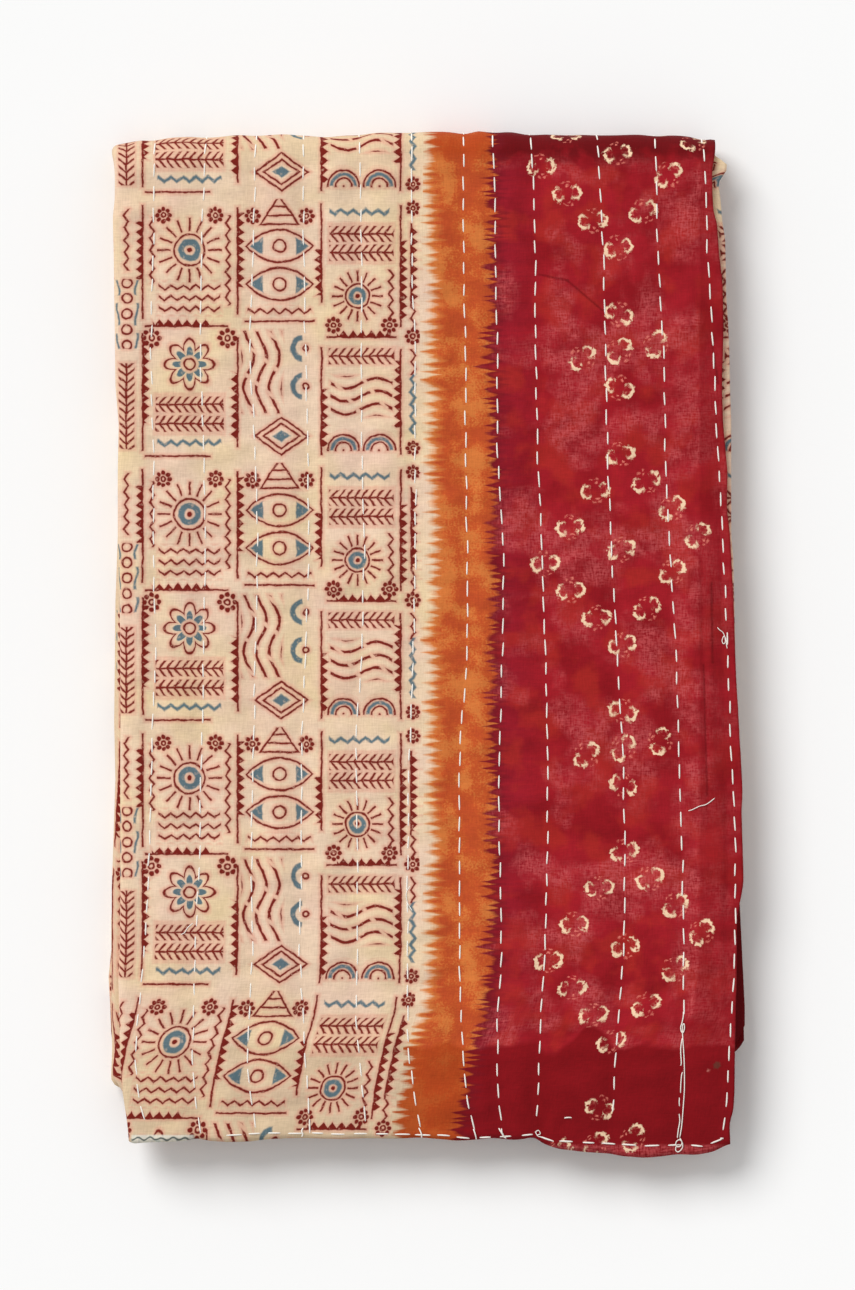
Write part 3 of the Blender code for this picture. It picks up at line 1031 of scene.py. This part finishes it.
def rosette(x, y, size):
    """Eight petals round a ring, with blue petals inside them."""
    radius = length(x, y)
    lobe = y.math("ARCTAN2", x).math("MULTIPLY", 4).math("COSINE")
    petals = radius - abs(lobe).reach(0.38 * size, 0.55 * size)
    lines = (abs(petals) * 0.7).least(abs(radius - 0.2 * size))
    return lines, (petals + 0.3 * size).most(radius * -1 + 0.34 * size)


def burst(x, y, size):
    """Dots in a ring round a small ring."""
    radius = length(x, y)
    ray = y.math("ARCTAN2", x).near(math.tau / 8) * radius
    dots = length(radius - 0.78 * size, ray) - 0.16 * size
    return dots.least(abs(radius - 0.26 * size)), None


def sprig(x, y):
    """A stem along x with slanting leaves on both sides."""
    aside = abs(y)
    leaf = (x - aside * 0.8).near(3.8) * 0.76
    return aside.least(leaf.most(aside - 3.5)), None


def zigzag(x, y):
    """A zigzag line along x."""
    return abs(y + 1.1 - x.near(6.2) * 0.71) * 0.8, None


def blue_zigzag(x, y):
    return None, zigzag(x, y)[0] - 0.7


def strokes(x, y):
    """Bent strokes along y, broken and staggered."""
    bent = x - (y * (math.tau / 31)).math("SINE") * 2.6
    broken = (y + x * 0.8).near(15) - 5.4
    return (abs(bent.wrapped(6.4)) - 0.25).most(broken * 0.6), None


def crescents(x, y):
    """Two blue crescents one over the other, each with a small ring."""
    level = (y + 9.5).wrapped(19)
    ring = abs(length(x, level) - 5.4) - 1.2
    return abs(length(x - 1.2, level) - 1.3), ring.most(x + 0.8)


def almonds(x, y):
    """Almond outlines one over the other, with a ring in the middle and blue tips."""
    level = (y + 9.5).wrapped(19)
    edge = (abs(level) + x * x * 0.029 - 8.1) * 0.85
    lines = abs(edge).least(abs(length(x, level) - 3.1))
    return lines, edge.most(abs(x) * -1 + 6.6) + 1.7


def ring_chain(x, y):
    """A row of rings along x between blue waves."""
    wave = abs(abs(y) - 4.6 - (x * (math.tau / 15)).math("SINE") * 0.8) - 0.5
    return abs(length(x.wrapped(7.8), y) - 2.3), wave.most(x.near(15) - 5.4)


def arches(x, y):
    """Half rings side by side, one of them blue."""
    radius = length((x + 9).wrapped(18), y)
    lines = radius.near(3.9).most(radius - 8.6).most(y * -1)
    return lines, (abs(radius - 5.8) - 0.8).most(y * -1)


def diamond(x, y):
    """A lozenge in a lozenge, round a blue middle."""
    size = (abs(x) * 0.07 + abs(y) * 0.1) * 8.2
    return abs(size - 7.6).least(abs(size - 5.1)), size - 2.4


def peak(x, y):
    """A pointed roof with bars in it."""
    inside = (abs(x) * 1.5 + y - 14) * 0.55
    inside = inside.most(y * -1)
    return abs(inside).least(y.near(4.4).most(inside)), None


def turned(motif):
    """A motif turned to run along y."""
    return lambda x, y: motif(y, x)


def sized(motif, size):
    return lambda x, y: motif(x, y, size)


def rows_of(motif, spacing, lift=0):
    """A motif repeated up the block, moved down by a lift."""
    return lambda x, y: motif(x, (y + lift).wrapped(spacing))


def bursts(spacing, size):
    """A row of bursts along x, with one on each side of the middle."""
    return lambda x, y: burst((x + spacing / 2).wrapped(spacing), y, size)


# What the block holds, in millimetres: a motif, its middle across and up, and half its box's size
MOTIFS = (
    (turned(sprig), 6.5, 28, 5, 21),
    (turned(ring_chain), 6.8, 74, 6.4, 17),
    (turned(zigzag), 6.5, 111, 5, 15),
    (sized(rosette, 13.5), 38, 49, 14, 14),
    (rows_of(sprig, 9.6, 4.8), 38, 24, 16.5, 9.2),
    (blue_zigzag, 38, 9.5, 16, 4),
    (bursts(38, 5), 38, 62, 25, 6),
    (sized(sun, 16), 38, 106, 17, 17),
    (rows_of(zigzag, 5.4), 38, 82, 15, 7.6),
    (turned(zigzag), 57.2, 101, 2.6, 22),
    (turned(zigzag), 19.2, 106, 2.4, 16),
    (bursts(26, 4), 38, 123.5, 19, 4.4),
    (strokes, 74, 45, 9.6, 20),
    (crescents, 95, 47.5, 7, 19),
    (diamond, 84, 13, 17, 11),
    (almonds, 83, 98.5, 17.5, 18.6),
    (peak, 83, 119, 14, 12),
    (zigzag, 83, 75.5, 15.5, 3),
    (bursts(27, 4), 83, 123, 19, 4.4),
    (arches, 124, 6, 18, 10),
    (turned(strokes), 124, 33, 15, 9.5),
    (sprig, 124, 53, 16, 5),
    (turned(zigzag), 138.6, 84, 2.4, 12),
    (bursts(28, 4), 124, 68.5, 18.5, 4.4),
    (sized(sun, 12.5), 122, 83, 13, 13),
    (rows_of(sprig, 9.4, 4.7), 124, 109.4, 15.5, 9),
    (blue_zigzag, 123, 125, 15, 4),
    (turned(blue_zigzag), 149.6, 29, 3, 15),
    (sized(burst, 4), 149.6, 63, 4.6, 4.6),
    (sized(burst, 3.6), 149.8, 7, 4.2, 4.2),
    (sized(burst, 3.6), 149.8, 127, 4.2, 4.2),
    (turned(zigzag), 149.8, 50, 2.4, 6),
    (turned(zigzag), 149.8, 72, 2.4, 5),
)


def rule(across, along, start, end, side, teeth_start, teeth_end):
    """A line, with a row of filled triangles on one side of part of it."""
    line = abs(across).most(abs(along - (start + end) / 2) - (end - start) / 2)
    if not side:
        return line
    outward = across * side
    tooth = (outward + along.near(RULE_TOOTH) * 1.25 - RULE_RISE).most(across * -side)
    middle, half = (teeth_start + teeth_end) / 2, (teeth_end - teeth_start) / 2
    return line.least(tooth.most(abs(along - middle) - half))


def boxed(field, x, y, half_width, half_height):
    """A motif's distance field, cut off at the edges of its box."""
    return field.most(abs(x) - half_width).most(abs(y) - half_height)


def block_print(u, beyond, v):
    """Distances in millimetres from the block's dark red lines and from its blue fills.

    What lies past the block's width is read on beyond, which doesn't repeat.
    """
    red = blue = u * 0 + FAR_OFF
    for across, *rest in UPRIGHT_RULES:
        red = red.least(rule((u if across < BLOCK_WIDTH else beyond) - across, v, *rest))
    for up, *rest in LEVEL_RULES:
        red = red.least(rule(v - up, u, *rest))
    for motif, at_u, at_v, half_width, half_height in MOTIFS:
        x, y = (u if at_u < BLOCK_WIDTH else beyond) - at_u, v - at_v
        lines, fills = motif(x, y)
        if lines is not None:
            red = red.least(boxed(lines, x, y, half_width, half_height))
        if fills is not None:
            blue = blue.least(boxed(fills, x, y, half_width, half_height))
    return red, blue


def lining_and_fold_shade(cloth):
    """1 where a paler layer lies under the face, 0.6 along the hem and 0 near both ends; the 0 at
    the folded end is painted shade.
    """
    waver = cloth.swing(14, 22, 2.0)
    arch = abs(cloth.p - LOW_ARCH[0]).below(LOW_ARCH[1], 12) * LOW_ARCH[2]
    inside = (cloth.q + waver - arch).above(LINED_AND_UNSHADED[0], 3)
    inside = inside * (cloth.q + waver * 0.5).below(LINED_AND_UNSHADED[1], 8)
    band = (cloth.p + waver * 0.15).below(HEM_BAND, 1.6)
    return inside * band.reach(0.4, 0.6)


def bare_cream(cloth):
    """Cream cotton, yellower and pinker in patches, darker where no paler layer lies under it, with
    painted shade near the folded end.
    """
    yellow = cloth.noise(46, 3.0).above(0.56, 0.34)
    pink = cloth.noise(30, 3.0, at=(4, 9)).above(0.58, 0.3)
    unlined_and_fold_shade = lining_and_fold_shade(cloth).reach(-0.5, 0.5)
    return cloth.layered(
        CREAM,
        (yellow * 0.75, CREAM_YELLOW),
        (pink * 0.6, CREAM_PINK),
        (unlined_and_fold_shade, CREAM_LOW),
    )


def with_pale_hem(cloth, colour, wobble):
    """The colour with a pale part of the hem over it, crossed by a grey wavy line."""
    middle, top, half = PALE_HEM
    hem = cloth.q.below(top, 0.8) * abs(cloth.p - middle).below(half, 1.5)
    wave = (cloth.p * (math.tau / HEM_WAVE)).math("SINE") * HEM_WAVE_RISE + wobble * 1.2
    line = abs(cloth.q + wave - top + HEM_WAVE_DROP).below(0.45, 0.6)
    return cloth.layered(colour, (hem * 0.8, HEM_PALE), (line * hem, HEM_GREY))


def printed_cream():
    """Cream cotton with the block print, a little wobbly and worn."""
    cloth = Cloth("printed cream cotton")
    from_centre = abs(cloth.p - QUILT_CENTRE)
    wobble = cloth.noise(5, 2.0)
    beyond = (from_centre + wobble * WOBBLE).math("SUBTRACT", BLOCK_START + WOBBLE / 2)
    u = beyond.least(BLOCK_WIDTH - 0.5).math("WRAP", BLOCK_WIDTH, 0)
    v = (cloth.q + cloth.noise(5, 2.0, at=(3, 7)) * WOBBLE).math("ADD", BLOCK_SHIFT)
    v = v.math("WRAP", BLOCK_HEIGHT, 0)
    red, blue = block_print(u, beyond, v)
    wear = cloth.noise(2.2, 3.0, at=(31, 8))
    red = red - wear * 0.7
    halo = red.below(1.1, 1.6) * 0.62
    ink = red.below(0.15, 0.46) * wear.below(0.7, 0.16).reach(0.5, 0.5)
    dye = (blue - wear * 0.8).below(-0.3, 0.8) * wear.below(0.72, 0.3).reach(0.5, 0.4)
    inks = ((halo, PRINT_HALO), (dye, PRINT_BLUE), (ink * 0.97, PRINT_RED))
    colour = cloth.layered(bare_cream(cloth), *inks)
    return cloth.finish(with_pale_hem(cloth, colour, wobble))


# ---------------- the border: stripe and flowers

STRIPE_START = 467.3  # millimetres from the quilt's centre
STRIPE_END = 499.2
BAND_FROST = 123  # where the frosting beside the hem's darker band starts
FOLD_SHADE = 248  # where the red darkens towards the folded end
HARD = 0.01  # a soft step that looks like a hard one

# Stains in millimetres: the place across and along, the radius and the colour
STAINS = (
    (154.7, -210, 1.7, paint(96, 60, 48)),
    (151, -212.7, 0.6, paint(196, 120, 110)),
)
# Painted shade along sharp creases, as dark lines: both ends, across and along the quilt
CREASE_SHADE_LINES = (
    (55.8, 185.3, 69.8, 182.4),
    (69.8, 182.4, 87.5, 167.2),
    (141.8, 31, 142.3, -9),
    (138, -10, 139.9, -75),
    (142.5, 150, 145.3, 131),
)

# The flowers stand in rings of cells round a middle one, with a cluster between two rings
FLOWER_CENTRE = (96.9, 47.8)  # on the flat quilt
FLOWER_DRIFT = 0.01  # how fast the flowers' middle line leans to the left, going up
FLOWER_PERIOD = 198.5  # along the quilt
RING_STEP = (12.7, 15.85)
RING_SLANT = -0.185
RING_REACH = 64  # up and down from its middle, where the cluster takes over
MIDDLE_REACH = 9  # of the flower in the ring's middle
CLUSTER_STEP = 18.5
CLUSTER_LEAN = 0.62  # radians, to the other side in the cluster's upper and lower flower
TILT_START = 85  # flowers further out than this lean over
TILT = 0.014  # radians for each millimetre
TILT_CHANCE = 0.26  # radians, by which each flower leans its own way

# A flower in millimetres: two arcs that face each other, a pinker arc in each, and dots
ARC_APART = 4.1  # from the flower's middle to an arc's own
ARC_RADIUS = 2.9
ARC_GAP = 2.2  # half the gap between the arcs
INNER_RADIUS = 1.6
DOT_PAIR = (1.4, 5.6)
LONE_DOT = (0.5, 4.0)
ALONG_EDGE = (400, 1)  # stretch that makes noise the same right across the stripe's edges


def teeth(cloth, pitch, longest, at):
    """Lengths in millimetres of uneven pointed teeth along the stripe's edge."""
    along = cloth.q + cloth.noise(8, 1.0, stretch=ALONG_EDGE, at=at) * 8
    point = along.near(pitch) * (-2 / pitch) + 1
    each = cloth.noise(6, 0.0, stretch=ALONG_EDGE, at=(at[1], at[0])).above(0.5, 0.8)
    group = cloth.noise(23, 0.0, stretch=ALONG_EDGE, at=(at[1], 9)).above(0.52, 0.5)
    return point.math("POWER", 1.15) * (each * 0.6 + group * 0.4).reach(longest, 0.2 * longest)


def ring_place(x, y):
    """The place in the nearest flower of a slanting ring, and 1 where the ring has one."""
    half_a = x * (0.5 / RING_STEP[0])
    b = (y + x * RING_SLANT) * (0.5 / RING_STEP[1])
    s, t = half_a + b, half_a - b
    near_s, near_t = (part.math("FLOOR") + 0.5 for part in (s, t))
    off_s, off_t = s - near_s, t - near_t
    ring_x = (off_s + off_t) * RING_STEP[0]
    ring_y = (off_s - off_t) * RING_STEP[1] - ring_x * RING_SLANT
    return ring_x, ring_y, abs(near_s).most(abs(near_t)).math("COMPARE", 1.5, 0.1)


def cluster_place(x, y):
    """The place in the nearest flower of a cluster of five, 1 where there is one, and its row."""
    cell_x = x * (1 / CLUSTER_STEP)
    cell_y = (y + x * RING_SLANT) * (1 / CLUSTER_STEP)
    column, row = (part.math("ROUND") for part in (cell_x, cell_y))
    cluster_x = (cell_x - column) * CLUSTER_STEP
    cluster_y = (cell_y - row) * CLUSTER_STEP - cluster_x * RING_SLANT
    return cluster_x, cluster_y, (abs(column) + abs(row)).below(1.5, HARD), row


def flower_places(cloth):
    """The place in the nearest flower in millimetres, 1 where there is one, and its lean."""
    past_centre = cloth.q - FLOWER_CENTRE[1]
    x = cloth.p + past_centre * FLOWER_DRIFT - FLOWER_CENTRE[0]
    y = past_centre.wrapped(FLOWER_PERIOD)
    between_rings = (past_centre - FLOWER_PERIOD / 2).wrapped(FLOWER_PERIOD)
    ring_x, ring_y, ring = ring_place(x, y)
    cluster_x, cluster_y, cluster, row = cluster_place(x, between_rings)
    middle = abs(x).most(abs(y)).below(MIDDLE_REACH, HARD)
    far = abs(y).above(RING_REACH, HARD)
    flower_x = choose(choose(ring_x, x, middle), cluster_x, far)
    flower_y = choose(choose(ring_y, y, middle), cluster_y, far)
    present = choose(ring.most(middle), cluster, far)
    lean = abs(row).reach(-2 * CLUSTER_LEAN, CLUSTER_LEAN) * far
    return flower_x, flower_y, present, lean


def flowers(cloth):
    """Shares of peach and of pink ink in flowers of two facing arcs with dots between them."""
    x, y, present, lean = flower_places(cloth)
    centre_p, centre_q = cloth.p - x, cloth.q - y
    chance = (centre_p * 12.9 + centre_q * 4.1).math("SINE").math("MULTIPLY", 437.5).math("FRACT")
    tilt = (centre_p - TILT_START).most(0) * TILT + chance * TILT_CHANCE + lean
    turned_x, turned_y = tilt.math("COSINE"), tilt.math("SINE")
    along, up = x * turned_x + y * turned_y, y * turned_x - x * turned_y
    rough = cloth.noise(1.2, 2.0) - 0.5
    along = along + cloth.swing(2.8, 3.0, 2.0, at=(2, 7))
    up = up + cloth.swing(2.8, 3.0, 2.0, at=(6, 1))
    aside = abs(along)
    arc = length((aside - ARC_APART) * 1.2, up * 0.93)
    thick = (aside - 4.0) * 0.16 + rough * 1.5 - up * 0.05
    petals = (abs(arc - ARC_RADIUS) - thick).below(0.5, 0.4)
    petals = petals * (aside - ARC_GAP - rough * 1.5).above(0, 0.5)
    petals = petals * cloth.noise(2.6, 1.0, at=(8, 8)).below(0.66, 0.1)
    inner = (abs(arc - INNER_RADIUS) - rough * 1.6).below(0.12, 0.5) * (aside - 3.2).above(0, 2)
    pair = length(aside - DOT_PAIR[0], abs(up) - DOT_PAIR[1])
    lone = length(along - LONE_DOT[0], abs(up) - LONE_DOT[1])
    dots = (pair.least(lone) + rough * 0.6).below(0.5, 0.3)
    pink = inner * 0.4 + dots * 0.9
    return petals * present, pink * present


def stripe_edges(cloth):
    """How far a place lies past the cream's edge and past the stripe's, in millimetres."""
    from_centre = abs(cloth.p - QUILT_CENTRE)
    fibres = cloth.swing(5, 0.9, 2.0, stretch=(7, 1))
    sway = cloth.swing(12, 38, 2.0, stretch=ALONG_EDGE, at=(6, 6))
    bays = cloth.swing(9, 26, 1.0, stretch=ALONG_EDGE, at=(3, 12))
    past_cream = from_centre - STRIPE_START + teeth(cloth, 5.0, 8, (2, 5)) + fibres + sway
    past_stripe = from_centre - STRIPE_END + teeth(cloth, 3.8, 8.5, (11, 3)) + fibres + bays
    return past_cream, past_stripe


def orange_cotton(cloth, past_cream, mottle, lined_and_unshaded):
    """Orange cotton, golden beside the cream, dark where no paler layer lies under it, with painted
    shade near the folded end.
    """
    gold = past_cream.below(3.6, 8) * 0.85
    return cloth.layered(
        ORANGE,
        (mottle.above(0.52, 0.3), ORANGE_DEEP),
        (gold.most(mottle.below(0.43, 0.16) * 0.4), ORANGE_GOLD),
        (lined_and_unshaded.reach(-0.75, 0.75), ORANGE_DARK),
    )


def red_cotton(cloth, past_stripe, grain, lined_and_unshaded):
    """Red cotton with dark, purple and rust patches, frosted pink where the dye has worn."""
    beside_band = cloth.noise(48, 1.0, stretch=ALONG_EDGE).above(0.5, 0.12)
    beside_band = cloth.p.above(BAND_FROST, 5) * beside_band
    frost = cloth.noise(34, 2.5, at=(7, 2)).above(0.53, 0.12).most(beside_band * 0.8)
    lobes = cloth.noise(9, 3.0, at=(1, 6)).above(0.46, 0.2)
    woven = cloth.noise(0.8, 1.0, stretch=(1, 5)) + cloth.noise(0.8, 1.0, stretch=(5, 1), at=(9, 2))
    speck = (woven * 1.5 + grain - 0.95).clamped()
    shaded = cloth.noise(24, 3.0, at=(13, 4)).above(0.52, 0.2)
    rust = cloth.noise(19, 3.0, at=(19, 27)).above(0.56, 0.16)
    return cloth.layered(
        RED,
        (shaded * 0.55, RED_DARK),
        (past_stripe.below(14, 22) * 0.6, RED_PURPLE),
        (rust * lined_and_unshaded * 0.5, RED_RUST),
        (frost * lobes.reach(0.6, 0.2) * speck * lined_and_unshaded, RED_PINK),
        # Darker where no paler layer lies under the red; both of these coats paint shade near the
        # folded end
        (lined_and_unshaded.reach(-0.85, 0.85), RED_DARK),
        ((cloth.q + lobes * 6).above(FOLD_SHADE, 8) * 0.75, RED_SHADE),
        (cloth.q.below(FACE_BOTTOM, 1.5) * speck * 0.8, RED_PINK),
    )


def stains(cloth, grain):
    """The coats of the stains."""
    for spot_p, spot_q, radius, colour in STAINS:
        spot = length(cloth.p - spot_p, cloth.q - spot_q) + grain * 2
        yield spot.below(radius, 1.0) * 0.7, colour


def painted_crease_shade(cloth, grain):
    """The coats of painted shade along the sharpest creases."""
    for p0, q0, p1, q1 in CREASE_SHADE_LINES:
        run_p, run_q = p1 - p0, q1 - q0
        square = run_p ** 2 + run_q ** 2
        share = (cloth.p - p0) * (run_p / square) + (cloth.q - q0) * (run_q / square)
        share = share.clamped()
        away = length(cloth.p - p0 - share * run_p, cloth.q - q0 - share * run_q) + grain * 0.8
        yield away.below(0.45, 1.1) * 0.6, RED_SHADE


def border():
    """The orange stripe with its toothed edges and the red panel with its ring flowers."""
    cloth = Cloth("striped and flowered border")
    past_cream, past_stripe = stripe_edges(cloth)
    lined_and_unshaded = lining_and_fold_shade(cloth)
    grain = cloth.noise(1.0, 2.0, at=(5, 3)) - 0.5
    mottle = cloth.noise(14, 4.0) + grain * 0.4
    orange = orange_cotton(cloth, past_cream, mottle, lined_and_unshaded)
    petals, pink = flowers(cloth)
    red = cloth.layered(
        red_cotton(cloth, past_stripe, grain, lined_and_unshaded),
        *stains(cloth, grain),
        *painted_crease_shade(cloth, grain),
        (pink, FLOWER_PINK),
        (petals * 0.95, FLOWER),
        (past_stripe.below(3.5, 9) * 0.8, MAROON),
    )
    panels = ((past_cream.above(1.2, 4.6), orange), (past_stripe.above(0, 2.6), red))
    return cloth.finish(cloth.layered(bare_cream(cloth), *panels))


def plain_back():
    """The plain pink cotton of the quilt's back."""
    cloth = Cloth("plain pink back")
    faded = cloth.noise(30, 3.0).above(0.5, 0.5)
    return cloth.finish(cloth.layered(CREAM_PINK, (faded, CREAM)))


TWIST_SCALE = 480
TWIST_DISTORTION = 1.5
TWIST_DEPTH = 0.12 * MM


def cotton_thread():
    """Off-white thread with a faint twist."""
    material, shader = new_material("white cotton thread")
    tree = material.node_tree
    where = new_node(tree, "TexCoord", "Object")
    waves = {"Vector": where, "Scale": TWIST_SCALE, "Distortion": TWIST_DISTORTION}
    twist = new_node(tree, "TexWave", "Fac", waves, bands_direction="DIAGONAL")
    bumps = {"Distance": TWIST_DEPTH, "Height": twist}
    feed(shader, {
        "Base Color": mix_colours(tree, twist, THREAD_SHADED, THREAD_WHITE),
        "Normal": new_node(tree, "Bump", 0, bumps),
        "Roughness": 0.7,
        "Specular IOR Level": THREAD_GLOSS,
    })
    return material


# ---------------- floor, light and camera

FLOOR_HALF = 3.0  # half the floor's width
FLOOR_DROP = 0.6 * MM  # keeps the floor clear of the thread on the underside
FLOOR_COLOUR = (0.96, 0.96, 0.955, 1.0)
WORLD_COLOUR = (1.0, 1.0, 1.0, 1.0)
WORLD_LIGHT = 0.53
LAMP_LIGHT = 2.25
LAMP_ANGLE = 34  # degrees, as wide as a large softbox looks
LAMP_FROM = (-1.0, 1.3, 1.45)  # the direction that its light comes from
VIEW_HEIGHT = 8.0  # of the camera over the floor
PHOTO_HEIGHT = 1290 * 0.5 * MM  # 1290 pixels of half a millimetre
SENSOR = 36  # millimetres


def lay_floor():
    """The pale matt ground of the photo."""
    material, shader = new_material("pale floor")
    feed(shader, {"Base Color": FLOOR_COLOUR, "Roughness": 1.0, "Specular IOR Level": 0.0})
    signs = ((-1, -1), (1, -1), (1, 1), (-1, 1))
    corners = [(x * FLOOR_HALF, y * FLOOR_HALF, -FLOOR_DROP) for x, y in signs]
    mesh = bpy.data.meshes.new("floor")
    mesh.from_pydata(corners, [], [(0, 1, 2, 3)])
    mesh.materials.append(material)
    floor = bpy.data.objects.new("floor", mesh)
    bpy.context.scene.collection.objects.link(floor)


def lights():
    """An even white surround and one soft lamp from the upper left."""
    world = bpy.data.worlds.new("studio")
    world.use_nodes = True
    feed(world.node_tree.nodes["Background"], {"Color": WORLD_COLOUR, "Strength": WORLD_LIGHT})
    bpy.context.scene.world = world

    light = bpy.data.lights.new("softbox", "SUN")
    light.energy = LAMP_LIGHT
    light.angle = math.radians(LAMP_ANGLE)
    lamp = bpy.data.objects.new("softbox", light)
    lamp.rotation_euler = (-Vector(LAMP_FROM)).to_track_quat("-Z", "Y").to_euler()
    bpy.context.scene.collection.objects.link(lamp)


def camera():
    """Straight above the middle of the photo."""
    view = bpy.data.cameras.new("camera")
    view.sensor_fit = "VERTICAL"
    view.sensor_height = SENSOR
    view.lens = SENSOR * (VIEW_HEIGHT - cad_high.z) / PHOTO_HEIGHT
    eye = bpy.data.objects.new("camera", view)
    eye.location = (RAW_TO_CAD[0], RAW_TO_CAD[1], VIEW_HEIGHT)
    bpy.context.scene.collection.objects.link(eye)
    bpy.context.scene.camera = eye


# ---------------- the scene

camera()
lay_floor()
lights()
back = plain_back()
quilt = folded_quilt([printed_cream(), border(), back, back])
rows, loose = sew_quilt(cotton_thread())
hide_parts("quilt")

bpy.context.scene.view_settings.view_transform = "Standard"
bpy.context.view_layer.update()
